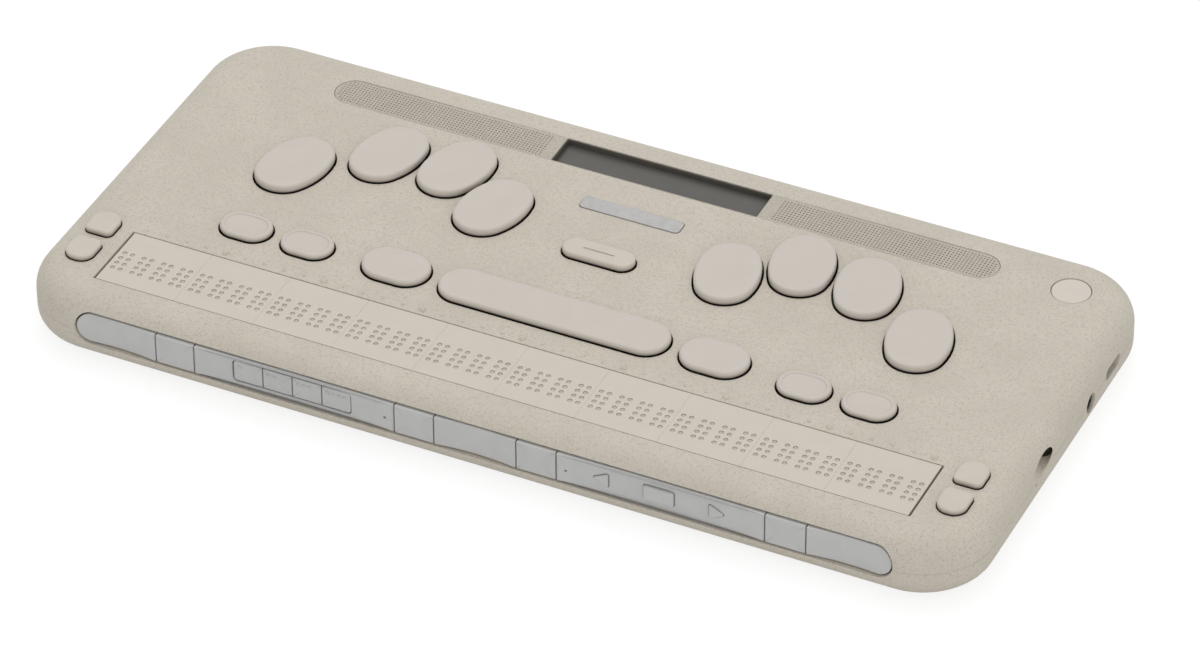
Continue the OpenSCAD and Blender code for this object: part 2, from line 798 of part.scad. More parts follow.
module battery() color(dark_col)
    translate([-body_w / 2 + battery_in, battery_y, z_floor])
        cube([body_w / 2 - battery_in + battery_x, battery_d, battery_h]);

// Left panel of the front bar, with a rounded recess for the four program keys
module panel_left() color(bar_col) difference() {
    bar_panel(-1);
    upright(bar_y - 1, front_back + 1) translate([recess_x, 0])
        rounded(program_row + 2 * program_gap, program_h + 2 * program_gap, program_r + program_gap);
    upright(bar_y + panel_t, front_back + 1) translate([recess_x, 0])
        square([4 * program_pitch + 1, program_h + 1.7], center = true);
}

// Right panel of the front bar, with openings for the three media keys
module panel_right() color(bar_col) difference() {
    bar_panel(1);
    for (i = [0:2]) translate([media_at[i], 0, 0]) {
        upright(bar_y - 1, front_back + 1) media_outline(i, 0.2);
        upright(bar_y + panel_t, front_back + 1)
            square([media_width(i) + 2.4, media_s + 2.4], center = true);
    }
}

// Panel of the front bar, scooped, with a flange behind the land and a pin hole
module bar_panel(s) {
    x0 = thumb_in_stop + bar_gap / 2;
    x1 = thumb_out_start - bar_gap / 2;
    mirror([s < 0 ? 1 : 0, 0, 0]) difference() {
        union() {
            upright(bar_y, land_y + flange_t) bar_outline(x0, x1, 0);
            upright(land_y, land_y + flange_t) bar_outline(x0, x1, bar_flange);
        }
        scoop_cut(x0, x1);
        upright(bar_y - 1, bar_y + panel_t) translate([pin_hole_x, -0.6]) circle(pin_hole_r, $fn = 32);
    }
}

// Wide upright cylinder that hollows a face between two x values
module scoop_cut(x0, x1) {
    half = (x1 - x0) / 2 - 0.6;
    r = (half * half + scoop * scoop) / (2 * scoop);
    translate([(x0 + x1) / 2, bar_y - r + scoop, bar_z - bar_h]) cylinder(r = r, h = 2 * bar_h, $fn = 360);
}

// Media key outline grown by g: triangles that point outwards, and a rectangle between
module media_outline(i, g) {
    if (i == 1) square([media_wide + 2 * g, media_s + 2 * g], center = true);
    else mirror([i == 0 ? 0 : 1, 0]) {
        half = media_s / 2;
        lean = atan2(half, media_s);
        tip = half + g / sin(lean);
        base = half + g;
        rise = (tip + base) * tan(lean);
        polygon([[-tip, 0], [base, -rise], [base, rise]]);
    }
}
function media_width(i) = i == 1 ? media_wide : media_s;

module front_board() color(board_col) {
    y0 = front_board_y;
    translate([-bar_l / 2 + 4, y0, bar_z - bar_r]) cube([bar_l - 8, board_t, bar_h]);
    for (s = [-1, 1]) {
        front_tact(s * (thumb_in_start + thumb_in_stop) / 2);
        front_tact(s * (thumb_out_start + thumb_out_stop) / 2);
        front_tact(s * (thumb_out_stop + bar_l / 2) / 2);
    }
    front_tact(0);
    for (i = [0:3]) front_tact(recess_x + (i - 1.5) * program_pitch);
    for (x = media_at) front_tact(x);
}

// Switch on the front board, whose plunger stops just short of a pressed key
module front_tact(x) {
    reach_y = front_back + front_travel + stop_gap;
    translate([x - switch_s / 2, reach_y + 0.5, bar_z - switch_s / 2])
        cube([switch_s, front_board_y - reach_y, switch_s]);
    translate([x, reach_y, bar_z]) rotate([-90, 0, 0]) cylinder(r = plunger_r, h = 1, $fn = 32);
}

// Charging socket: a flat metal shell with a tongue inside
module charge_socket() color(steel_col) {
    l = 7.4;
    x0 = body_w / 2 - wall - l;
    h = slot_h - 0.6;
    translate([x0, slot_y, slot_z]) rotate([90, 0, 90]) difference() {
        linear_extrude(l) stadium(slot_w - 1.6, h);
        translate([0, 0, 1]) linear_extrude(l) stadium(slot_w - 2.2, h - 0.6);
    }
    translate([x0 + 0.5, slot_y - 3.3, slot_z - 0.35]) cube([l - 2, 6.6, 0.7]);
    translate([x0, slot_y - 4, main_board_top]) cube([l - 1.6, 8, slot_z - h / 2 - main_board_top + 0.2]);
}

// Mouth of the audio socket, and the back of its body, which butts on the main board
function jack_mouth() = body_w / 2 - 1;
function jack_back() = jack_mouth() - jack_depth - 4;

// Audio socket: a barrel with its bore, on a square body
module audio_socket() color(dark_col) {
    x1 = jack_mouth();
    x0 = jack_back();
    difference() {
        union() {
            translate([x0, jack_y - 4, jack_z - 3.2]) cube([x1 - 5 - x0, 8, 6.4]);
            translate([x0 + 1, jack_y, jack_z]) rotate([0, 90, 0])
                cylinder(r = jack_barrel_r, h = x1 - x0 - 1);
        }
        translate([x1 - jack_depth, jack_y, jack_z]) rotate([0, 90, 0])
            cylinder(r = jack_r, h = jack_depth + 1);
    }
}

module case_screws() color(steel_col) at_screws() {
    translate([0, 0, z_bot + head_sink - head_h]) difference() {
        cylinder(r = head_r, h = head_h);
        translate([-head_r, -0.3, -overlap]) cube([2 * head_r, 0.6, 0.5 + overlap]);
    }
    translate([0, 0, z_bot + head_sink - 0.2])
        cylinder(r = screw_r, h = z_roof - 2 * wall - z_bot - head_sink, $fn = 32);
}

module feet() color([0.25, 0.25, 0.25])
    for (sx = [-1, 1], sy = [-1, 1]) translate([sx * foot_at.x, sy * foot_at.y, 0])
        cylinder(r = foot_r, h = foot_h + foot_sink);

// Large oval key: k from 0 on the inside out, s is -1 on the left and 1 on the right
module dot_key(k, s) color(key_col)
    translate([s * oval_at[k].x, oval_at[k].y, 0]) rotate([0, 0, s * oval_lean]) {
        top = z_top + oval_h;
        sphere_r = (dish_r * dish_r + dish_depth * dish_depth) / (2 * dish_depth);
        difference() {
            oval_key(oval_a, oval_b, oval_end_r, key_under, top, key_round);
            translate([0, 0, top + sphere_r - dish_depth]) sphere(sphere_r, $fn = 240);
        }
        translate([-tab_w / 2, -oval_b - tab_l, key_under]) cube([tab_w, 2 * (oval_b + tab_l), flange_t]);
    }

// Stadium key with a flange all round
module flanged_key(l, d, h, f) {
    stadium_key(l, d, key_under, z_top + h, f);
    translate([0, 0, key_under]) linear_extrude(flange_t)
        stadium(l + 2 * (key_gap + flange_w), d + 2 * (key_gap + flange_w));
}

module function_key(k, s) color(key_col)
    translate([s * small_at[k], small_y, 0]) flanged_key(small_key_l, small_key_d, small_key_h, key_round);

module control_key(s) color(key_col)
    translate([s * mid_x, bar_key_y, 0]) flanged_key(mid_key_l, mid_key_d, key_h, key_round);

module bar_key() color(key_col)
    translate([0, bar_key_y, 0]) flanged_key(bar_key_l, bar_key_d, key_h, key_round);

module pill_key() color(key_col) translate([0, pill_y, 0]) difference() {
    flanged_key(pill_l, pill_d, key_h, key_round);
    translate([-pill_groove_l / 2, 0, z_top + key_h]) rotate([0, 90, 0])
        cylinder(r = pill_groove_r, h = pill_groove_l, $fn = 32);
}

// Underside of the power button: its flange clears the falling roof at its outer edge
function power_under() = roof(reach(power_at) + power_r + key_gap + flange_w, wall)
    - seat_gap - flange_t;

module power_button() color(key_col)
    translate([power_at.x, power_at.y, power_under()]) {
        cylinder(r = power_r, h = z_top - 0.15 - power_under());
        cylinder(r = power_r + key_gap + flange_w, h = flange_t);
    }

// Underside of the scroll keys: their flange clears the falling roof at its outer edge
function scroll_under() = roof(corner_r - scroll_in + scroll_w / 2 + key_gap + flange_w, wall)
    - seat_gap - flange_t;

// Scroll key with a flange all round: k is 0 at the rear and 1 at the front
module scroll_key(k, s) color(key_col) mirror([s < 0 ? 1 : 0, 0, 0])
    translate([body_w / 2 - scroll_in, scroll_y[k], scroll_under()]) {
        linear_extrude(z_top + scroll_h - scroll_under()) scroll_outline(k, 0);
        linear_extrude(flange_t) scroll_outline(k, key_gap + flange_w);
    }

// Front key between two x values: scooped or flat, with a flange behind the land
module front_key(x0, x1, scooped) difference() {
    union() {
        upright(bar_y, front_back) bar_outline(x0, x1, 0);
        upright(front_back - flange_t, front_back) bar_outline(x0, x1, bar_flange);
    }
    if (scooped) scoop_cut(x0, min(x1, bar_l / 2));
}

module end_key(s) color(bar_col) mirror([s < 0 ? 1 : 0, 0, 0])
    front_key(thumb_out_stop + bar_gap / 2, bar_l, true);

module thumb_key(x0, x1, s) color(bar_col) mirror([s < 0 ? 1 : 0, 0, 0])
    front_key(x0 + bar_gap / 2, x1 - bar_gap / 2, false);

module centre_key() color(bar_col)
    front_key(-thumb_in_start + bar_gap / 2, thumb_in_start - bar_gap / 2, true);

// Small key in the left panel, with i + 1 counting bumps on its face
module program_key(i) color(bar_col) translate([recess_x + (i - 1.5) * program_pitch, 0, 0]) {
    face = bar_y + scoop;
    back = bar_y + panel_t + seat_gap;
    upright(face, back + 0.9) intersection() {
        square([program_l, program_h], center = true);
        translate([(1.5 - i) * program_pitch, 0]) rounded(program_row, program_h, program_r);
    }
    upright(back, back + 0.9) square([program_l, program_h + 1.1], center = true);
    upright(back, front_back) circle(1.5, $fn = 32);
    for (b = [0:i]) translate([-2.7 + b * 1.8, face + 0.2, bar_z + 1.6]) sphere(0.5, $fn = 24);
}

module media_key(i) color(bar_col) translate([media_at[i], 0, 0]) {
    back = bar_y + panel_t + seat_gap;
    upright(bar_y, back + 0.9) media_outline(i, 0);
    upright(back, back + 0.9) square([media_width(i) + 1.6, media_s + 1.6], center = true);
    upright(back, front_back) circle(1.5, $fn = 32);
}

top_case();
bottom_case();
speaker_panel();
lcd_window();
lcd_module();
speaker(-1);  // speaker_left
speaker(1);  // speaker_right
name_plate();
cell_caps();
cell_modules();
cell_board();
key_board();
main_board();
battery();
panel_left();
panel_right();
front_board();
charge_socket();
audio_socket();
case_screws();
feet();
pins(-1);  // pins_left_column
pins(1);  // pins_right_column
bar_key();
pill_key();
power_button();
centre_key();
end_key(-1);  // end_key_left
end_key(1);  // end_key_right
for (i = [1:8]) dot_key(i > 4 ? i - 5 : 4 - i, i > 4 ? 1 : -1);
for (i = [1:4]) function_key(i > 2 ? i - 3 : 2 - i, i > 2 ? 1 : -1);
for (i = [1:2]) control_key(i > 1 ? 1 : -1);
for (i = [1:4]) scroll_key((i - 1) % 2, i > 2 ? 1 : -1);
for (i = [1, 4]) thumb_key(thumb_out_start, thumb_out_stop, i > 2 ? 1 : -1);
for (i = [2, 3]) thumb_key(thumb_in_start, thumb_in_stop, i > 2 ? 1 : -1);
for (i = [1:4]) program_key(i - 1);
for (i = [1:3]) media_key(i - 1);
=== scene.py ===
import json
from math import asin, atan2, ceil, cos, degrees, pi, radians, sin

import bmesh
import bpy
import numpy as np
from mathutils import Matrix, Vector
from mathutils.geometry import delaunay_2d_cdt


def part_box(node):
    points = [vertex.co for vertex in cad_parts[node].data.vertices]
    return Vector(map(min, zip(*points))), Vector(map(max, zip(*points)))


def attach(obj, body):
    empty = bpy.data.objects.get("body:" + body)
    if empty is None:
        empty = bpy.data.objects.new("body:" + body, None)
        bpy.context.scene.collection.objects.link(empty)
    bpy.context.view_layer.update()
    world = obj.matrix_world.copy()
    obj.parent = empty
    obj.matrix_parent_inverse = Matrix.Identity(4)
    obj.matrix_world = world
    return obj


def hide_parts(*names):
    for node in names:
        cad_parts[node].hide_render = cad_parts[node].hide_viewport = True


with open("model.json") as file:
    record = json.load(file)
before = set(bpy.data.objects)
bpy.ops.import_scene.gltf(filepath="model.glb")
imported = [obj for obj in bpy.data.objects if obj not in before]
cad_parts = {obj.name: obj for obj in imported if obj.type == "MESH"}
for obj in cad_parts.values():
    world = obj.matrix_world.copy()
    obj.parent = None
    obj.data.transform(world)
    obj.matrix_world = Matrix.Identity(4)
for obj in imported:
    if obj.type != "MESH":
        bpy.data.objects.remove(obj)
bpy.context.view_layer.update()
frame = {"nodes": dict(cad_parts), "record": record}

# Sizes in millimetres, in the part's own frame
MM = 0.001
BODY_W, BODY_D = 301.4, 144.8
Z_BOTTOM, Z_LOW, Z_PART, Z_EDGE, Z_TOP = 1.0, 7.0, 10.5, 12.5, 21.0
WALL = 2.0
CORNER_R, EDGE_R, BELLY_R = 21.8, 8.5, 6.0
LIP = 0.3
HALF_X = BODY_W / 2 - CORNER_R
HALF_Y = BODY_D / 2 - CORNER_R

# The edge arc and the belly arc begin at these distances outside the corner axes
EDGE_U = CORNER_R - EDGE_R
BELLY_U = CORNER_R - BELLY_R

# Steps of the round stretches and the fillets, and where smooth shading stops, all angles in degrees
ARC_STEP = 6.0
EDGE_STEPS, LIP_STEPS = 7, 4
SHARP_ANGLE = 35.0
NO_POINTS = np.zeros((0, 2))

# Domes: latitude that they start from, in radians, and the count of sides and of rings
DOME_START, DOME_SIDES, DOME_RINGS = 0.25, 16, 5

# Distances within which points are one: in a flat sheet in millimetres, in a built mesh in metres
SAME_FLAT, SAME_POINT, SLIVER = 1e-4, 2e-6, 1e-6

# Height above the case where a key overhangs its stem, half the blend to the stem's painted shadow, and the
# height that the painted shade on the sides spans
OVERHANG, STEM_SHADOW_BLEND, PAINTED_SHADE_RISE = 0.25, 0.08, 0.9


# Outlines

def chain(arcs, step=1000.0, turn_step=ARC_STEP):
    """Closed outline of arcs (centre x, centre y, radius, start, stop in degrees) joined by straight lines that
    are filled at the step: returns its points, and unit normals, so that point + g * normal grows it by g."""
    points, normals = [], []
    for arc, after in zip(arcs, arcs[1:] + arcs[:1]):
        x, y, r, start, stop = arc
        turn = np.radians(np.linspace(start, stop, max(2, ceil(abs(stop - start) / turn_step) + 1)))
        normal = np.stack([np.cos(turn), np.sin(turn)], 1)
        point = np.array([x, y]) + r * normal
        begin = np.radians(after[3])
        goal = np.array(after[:2]) + after[2] * np.array([np.cos(begin), np.sin(begin)])
        run = np.linalg.norm(goal - point[-1])
        if run < 1e-6:
            point, normal = point[:-1], normal[:-1]
        else:
            count = ceil(run / step)
            part = np.arange(1, count)[:, None] / count
            point = np.concatenate([point, point[-1] + part * (goal - point[-1])])
            normal = np.concatenate([normal, np.repeat(normal[-1:], count - 1, 0)])
        points.append(point)
        normals.append(normal)
    return np.concatenate(points), np.concatenate(normals)


def corners(x0, x1, y0, y1, lower_right, upper_right, upper_left, lower_left):
    """Arcs of a box outline that has its own radius at each corner."""
    return [(x1 - lower_right, y0 + lower_right, lower_right, -90, 0),
            (x1 - upper_right, y1 - upper_right, upper_right, 0, 90),
            (x0 + upper_left, y1 - upper_left, upper_left, 90, 180),
            (x0 + lower_left, y0 + lower_left, lower_left, 180, 270)]


def rounded(length, depth, r):
    """Arcs of a box outline about the origin with one radius at all corners."""
    return corners(-length / 2, length / 2, -depth / 2, depth / 2, r, r, r, r)


def stadium(length, depth):
    """Arcs of an outline with half-round ends."""
    return rounded(length, depth, depth / 2)


def circle(r):
    """One arc that is a whole turn."""
    return [(0.0, 0.0, r, 0, 360)]


def oval(a, b, end_r):
    """Arcs of an oval with half width a and half length b: round ends joined smoothly by two wide side arcs."""
    side_r = ((a * a - end_r * end_r) + (b - end_r) ** 2) / (2 * (a - end_r))
    off = side_r - a
    turn = degrees(atan2(b - end_r, off))
    return [(-off, 0, side_r, -turn, turn), (0, b - end_r, end_r, turn, 180 - turn),
            (off, 0, side_r, 180 - turn, 180 + turn), (0, end_r - b, end_r, 180 + turn, 360 - turn)]


def placed(outline, at, turn=0.0):
    """Outline turned by an angle in degrees and moved to a place."""
    c, s = cos(radians(turn)), sin(radians(turn))
    spin = np.array([[c, s], [-s, c]])
    return outline[0] @ spin + np.asarray(at), outline[1] @ spin


def grown(outline, g):
    """Outline grown by g."""
    return outline[0] + g * outline[1], outline[1]


def soft_polygon(vertices, r):
    """Arcs of a polygon that turns left, its corners rounded: each arc's centre lies r inside both sides."""
    vertices = np.asarray(vertices, float)
    side = np.roll(vertices, -1, 0) - vertices
    out = np.stack([side[:, 1], -side[:, 0]], 1) / np.linalg.norm(side, axis=1)[:, None]
    before = np.roll(out, 1, 0)
    centre = vertices - r * (before + out) / (1 + (before * out).sum(1))[:, None]
    start = np.degrees(np.arctan2(before[:, 1], before[:, 0]))
    turn = (np.degrees(np.arctan2(out[:, 1], out[:, 0])) - start) % 360
    return [(x, y, r, a, a + t) for (x, y), a, t in zip(centre.tolist(), start.tolist(), turn.tolist())]


# Surfaces

def level(z):
    """Height that is the same everywhere."""
    return lambda flat: np.full(len(flat), z)


def loft(rings):
    """Surface through a stack of closed rings of equal count: neighbours in a ring and between two rings make a
    four-sided face, which points outwards where rings climb and run anticlockwise."""
    rings = np.asarray(rings)
    rows, count = rings.shape[:2]
    index = np.arange(rows * count).reshape(rows, count)
    ahead = np.roll(index, -1, 1)
    faces = np.stack([index[:-1], ahead[:-1], ahead[1:], index[1:]], -1).reshape(-1, 4)
    return rings.reshape(-1, 3), faces


def ring(sides):
    """Points of a circle of radius 1 in the plane."""
    turn = np.linspace(0, 2 * pi, sides, endpoint=False)
    return np.stack([np.cos(turn), np.sin(turn)], 1)


def grid_points(x, y):
    """Points of a grid, row by row."""
    return np.stack(np.meshgrid(x, y), -1).reshape(-1, 2)


def raised(flat, z):
    """Points in the plane given a height each."""
    return np.column_stack([flat, np.broadcast_to(z, len(flat))])


def inside(points, loop):
    """Which points lie in a closed loop: a line to the right of such a point crosses an odd number of sides."""
    ahead = np.roll(loop, -1, 0)
    y = points[:, 1:2]
    spans = (loop[:, 1] > y) != (ahead[:, 1] > y)
    slope = (ahead[:, 0] - loop[:, 0]) / np.where(ahead[:, 1] == loop[:, 1], 1, ahead[:, 1] - loop[:, 1])
    crossed = spans & (points[:, :1] < loop[:, 0] + (y - loop[:, 1]) * slope)
    return crossed.sum(1) % 2 == 1


def near_box(points, loop, room):
    """Numbers of the points that lie in a loop's box, grown by room."""
    return np.flatnonzero(np.all((points > loop.min(0) - room) & (points < loop.max(0) + room), 1))


def clear_of(points, loops, room):
    """The points that are outside every loop and further than room from its corners."""
    keep = np.ones(len(points), bool)
    for loop in loops:
        near = near_box(points, loop, room)
        gap = points[near][:, None] - loop
        close = np.any((gap ** 2).sum(-1) < room ** 2, 1)
        keep[near[close | inside(points[near], loop)]] = False
    return points[keep]


def sheet(loops, extra, lines=()):
    """Triangles in the plane that fill the first loop, leave the other loops open, and pass through the extra
    points and along the lines: a constrained Delaunay mesh, less the triangles whose middle is in a hole."""
    chains = [(loop, True) for loop in loops] + [(line, False) for line in lines]
    points = np.concatenate([chain_points for chain_points, _ in chains] + [extra])
    edges, first = [], 0
    for chain_points, closed in chains:
        number = first + np.arange(len(chain_points))
        edges.append(np.stack([number, np.roll(number, -1)], 1)[:len(number) - (not closed)])
        first += len(number)
    made = delaunay_2d_cdt([Vector(p) for p in points], np.concatenate(edges).tolist(), [], 0, SAME_FLAT)
    flat = np.array([v[:] for v in made[0]])
    triangles = np.array(made[2])
    centre = flat[triangles].mean(1)
    keep = np.ones(len(triangles), bool)
    for loop in loops[1:]:
        near = near_box(centre, loop, 0)
        keep[near[inside(centre[near], loop)]] = False
    return flat, triangles[keep]


def hole_wall(outline, lift, deep, lip):
    """Edge of an opening: a quarter round of radius lip from the grown outline, then a straight wall that stops
    deep below the face."""
    point, normal = outline
    turn = np.linspace(0, pi / 2, LIP_STEPS) if lip else np.zeros(1)
    face = lift(point + lip * normal)
    rings = [raised(point + lip * (1 - sin(a)) * normal, face - lip * (1 - cos(a))) for a in turn]
    return loft(rings + [raised(point, face - deep)])


def plate_side(outline, lift, foot, edge):
    """Side of a plate: straight up from the foot, then a quarter round onto the face."""
    point, normal = outline
    face = lift(point - edge * normal)
    turn = np.linspace(0, pi / 2, EDGE_STEPS)
    rings = [raised(point - edge * (1 - cos(a)) * normal, face - edge * (1 - sin(a))) for a in turn]
    return loft([raised(point, foot)] + rings)


def plate(outline, holes, lift, foot, edge, extra, deep, lip=LIP):
    """Plate with holes: a sheet at the height that lift gives, a wall in every hole, all as deep or each with its
    own depth, and a side if it has a foot."""
    loops = [grown(hole, lip)[0] for hole in holes]
    flat, triangles = sheet([grown(outline, -edge)[0]] + loops, clear_of(extra, loops, 2 * lip))
    parts = [(raised(flat, lift(flat)), triangles)]
    if foot is not None:
        parts.append(plate_side(outline, lift, foot, edge))
    return parts + [hole_wall(hole, lift, d, lip) for hole, d in zip(holes, np.broadcast_to(deep, len(holes)))]


PLAIN_SHARES = np.linspace(1, 0, 13)


def key_shell(outline, spine, lift, height, edge, foot, top, skirt=0.0, shares=PLAIN_SHARES):
    """Key as a loft of its outline: a flat foot, straight sides set in by the skirt below its overhang, a
    quarter-round edge, and a top that shrinks to the spine, the point or line in its middle, while top adds its
    height at each share of the way out."""
    point, normal = outline
    turn = np.linspace(0, pi / 2, EDGE_STEPS)
    rim = point - edge * normal
    stem = point - skirt * normal
    rings = [raised(spine, foot), raised(stem, foot)]
    if skirt:
        rings += [raised(stem, lift(point) + OVERHANG), raised(point, lift(point) + OVERHANG)]
    for a in turn:
        flat = point - edge * (1 - cos(a)) * normal
        rings.append(raised(flat, lift(flat) + height - edge * (1 - sin(a))))
    for share in shares[1:]:
        flat = spine + share * (rim - spine)
        rings.append(raised(flat, lift(flat) + height + top(share)))
    return loft(rings)


def line_spine(outline, at, half, turn=0.0):
    """For each outline point, the nearest point on a line of half length half through the place at, turned."""
    along = np.array([cos(radians(turn)), sin(radians(turn))])
    reach = np.clip((outline[0] - at) @ along, -half, half)
    return np.asarray(at) + reach[:, None] * along


def copies(part, places):
    """One part set at many places, as one part."""
    points, faces = part
    first = np.arange(len(places)) * len(points)
    return (places[:, None] + points).reshape(-1, 3), (faces + first[:, None, None]).reshape(-1, faces.shape[1])


def domes(centres, r):
    """Ball caps of one radius at many places: rings of points from a start latitude up to the pole, which shrink
    as the cosine of their latitude."""
    rise = np.linspace(DOME_START, pi / 2, DOME_RINGS + 1)
    return copies(loft([raised(r * cos(a) * ring(DOME_SIDES), r * sin(a)) for a in rise]), centres)


def front_facing(part):
    """Part made in the plane turned to stand on the front: its width stays, its depth is up, its height is out."""
    points, faces = part
    return points[:, [0, 2, 1]] * [1, -1, 1], faces


def new_object(name, data):
    """Object that is linked into the scene."""
    made = bpy.data.objects.new(name, data)
    bpy.context.collection.objects.link(made)
    return made


def build(name, parts, body, material, stands_for):
    """One mesh object at the origin from parts in millimetres, with doubled points merged."""
    points = np.concatenate([p for p, _ in parts]) * MM
    first = np.cumsum([0] + [len(p) for p, _ in parts[:-1]])
    faces = [row for start, (_, f) in zip(first, parts) for row in (f + start).tolist()]
    mesh = bpy.data.meshes.new(name)
    mesh.from_pydata(points.tolist(), [], faces)
    shape = bmesh.new()
    shape.from_mesh(mesh)
    bmesh.ops.remove_doubles(shape, verts=shape.verts, dist=SAME_POINT)
    bmesh.ops.dissolve_degenerate(shape, edges=shape.edges, dist=SLIVER)
    shape.to_mesh(mesh)
    shape.free()
    mesh.shade_smooth()
    mesh.set_sharp_from_angle(angle=radians(SHARP_ANGLE))
    mesh.materials.append(material)
    piece = new_object(name, mesh)
    evened = piece.modifiers.new("level_faces", "WEIGHTED_NORMAL")
    evened.keep_sharp = True
    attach(piece, body)
    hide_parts(*stands_for)


def build_moving(node, parts, material):
    """Piece that stands for one moving node and rides its body."""
    build(node + "_piece", parts, node + "_body", material, [node])


def middle(node):
    """Middle of a CAD node's box, in millimetres."""
    low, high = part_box(node)
    return (np.array(low) + np.array(high)) / 2 / MM


# Finishes

# Case plastic in screen colours: mottles with lumps to the metre and the noise values they blend between, and
# flecks with cells to the metre, size in a cell and a cell's least random value
CASE_TONE = (205, 197, 184)
CASE_MOTTLES = [((200, 192, 179), 60, 0.35, 0.65), ((190, 182, 169), 1500, 0.48, 0.72)]
CASE_FLECKS = [((180, 171, 158), 1400, 0.38, 0.42), ((168, 159, 146), 800, 0.22, 0.66)]

# Full part of a fleck as a share of its size, and the random values that it fades in over
FLECK_CORE, FLECK_BLEND = 0.45, 0.25

# Painted shade on the keys in screen colours: painted shade low on the sides, and painted shadow on the stem
PAINTED_SIDE_SHADE, PAINTED_STEM_SHADOW = (146, 139, 131), (34, 32, 29)


def linear(colour, shade=1.0):
    """Colour socket value from screen values of 0 to 255, darkened by a shade."""
    screen = shade * np.array(colour) / 255
    value = np.where(screen <= 0.04045, screen / 12.92, ((screen + 0.055) / 1.055) ** 2.4)
    return (*value.tolist(), 1.0)


def new_finish(name, rough, specular=0.5):
    """Empty material with a Principled shader: returns it, its tree, the shader and the Object coordinates."""
    material = bpy.data.materials.new(name)
    material.use_nodes = True
    tree = material.node_tree
    shader = tree.nodes["Principled BSDF"]
    shader.inputs["Roughness"].default_value = rough
    shader.inputs["Specular IOR Level"].default_value = specular
    place = tree.nodes.new("ShaderNodeTexCoord").outputs["Object"]
    return material, tree, shader, place


def shader_node(tree, kind, inputs, **settings):
    """New node with its settings, and each input set to its value or linked to its socket."""
    node = tree.nodes.new(kind)
    for name, setting in settings.items():
        setattr(node, name, setting)
    for name, value in inputs.items():
        if isinstance(value, bpy.types.NodeSocket):
            tree.links.new(value, node.inputs[name])
        else:
            node.inputs[name].default_value = value
    return node


def noise(tree, place, scale, detail=2.0):
    """Noise texture of a number of lumps to the metre: its value socket."""
    inputs = {"Vector": place, "Scale": scale, "Detail": detail}
    return shader_node(tree, "ShaderNodeTexNoise", inputs).outputs["Fac"]


def ramp(tree, value, low, high):
    """Value stretched so that low gives 0 and high gives 1, with both ends held."""
    inputs = {"Value": value, "From Min": low, "From Max": high}
    return shader_node(tree, "ShaderNodeMapRange", inputs).outputs["Result"]


def joined(tree, operation, first, second):
    """Two values joined by a Math node."""
    return shader_node(tree, "ShaderNodeMath", {0: first, 1: second}, operation=operation).outputs[0]


def tint(tree, under, over, share):
    """Colour under mixed with colour over by a share: under is a socket or a colour."""
    return shader_node(tree, "ShaderNodeMix", {6: under, 7: over, 0: share}, data_type="RGBA").outputs[2]


def flecks(tree, place, scale, size, keep):
    """Mask of round flecks: the middles of Voronoi cells, on the share of cells whose random value passes keep."""
    cells = shader_node(tree, "ShaderNodeTexVoronoi", {"Vector": place, "Scale": scale})
    split = shader_node(tree, "ShaderNodeSeparateColor", {"Color": cells.outputs["Color"]})
    dots = ramp(tree, cells.outputs["Distance"], size, size * FLECK_CORE)
    return joined(tree, "MULTIPLY", dots, ramp(tree, split.outputs["Red"], keep, keep + FLECK_BLEND))


def roughened(tree, shader, value, depth, strength):
    """Bump on a shader from a value, depth in millimetres."""
    bump = shader_node(tree, "ShaderNodeBump", {"Height": value, "Strength": strength, "Distance": depth * MM})
    tree.links.new(bump.outputs["Normal"], shader.inputs["Normal"])


def case_finish(name, shade):
    """Moulded warm grey plastic with fine, faint dark flecks and a matt grain: shade darkens it."""
    material, tree, shader, place = new_finish(name, 0.62, 0.35)

    colour = linear(CASE_TONE, shade)
    for over, scale, low, high in CASE_MOTTLES:
        colour = tint(tree, colour, linear(over, shade), ramp(tree, noise(tree, place, scale), low, high))
    for over, scale, size, keep in CASE_FLECKS:
        colour = tint(tree, colour, linear(over, shade), flecks(tree, place, scale, size, keep))
    tree.links.new(colour, shader.inputs["Base Color"])
    roughened(tree, shader, noise(tree, place, 2600, 3), 0.03, 0.3)
    return material


def key_finish_painted_shade(name, light, dark):
    """Smooth key plastic with soft mottling, with painted shade that darkens its sides downwards and a painted
    shadow on its stem under them.
    """
    material, tree, shader, place = new_finish(name, 0.5, 0.4)
    colour = tint(tree, linear(light), linear(dark), ramp(tree, noise(tree, place, 140), 0.3, 0.7))
    height = shader_node(tree, "ShaderNodeSeparateXYZ", {0: place}).outputs["Z"]
    overhang = (Z_TOP + OVERHANG) * MM
    # Painted shade: the sides darken downwards towards the case
    sides = ramp(tree, height, overhang + PAINTED_SHADE_RISE * MM, overhang)
    colour = tint(tree, colour, linear(PAINTED_SIDE_SHADE), sides)
    # Painted shadow: the stem under the overhang is dark, for the shaded gap round the key
    stem = ramp(tree, height, overhang + STEM_SHADOW_BLEND * MM, overhang - STEM_SHADOW_BLEND * MM)
    colour = tint(tree, colour, linear(PAINTED_STEM_SHADOW), stem)
    tree.links.new(colour, shader.inputs["Base Color"])
    roughened(tree, shader, noise(tree, place, 3200), 0.02, 0.25)
    return material


def plain_finish(name, light, dark, rough, scale, specular=0.5, metallic=0.0):
    """Material of two close screen colours mixed by noise, with a fine grain."""
    material, tree, shader, place = new_finish(name, rough, specular)
    shader.inputs["Metallic"].default_value = metallic
    colour = tint(tree, linear(light), linear(dark), ramp(tree, noise(tree, place, scale), 0.35, 0.65))
    tree.links.new(colour, shader.inputs["Base Color"])
    roughened(tree, shader, noise(tree, place, 8 * scale, 3), 0.02, 0.3)
    return material


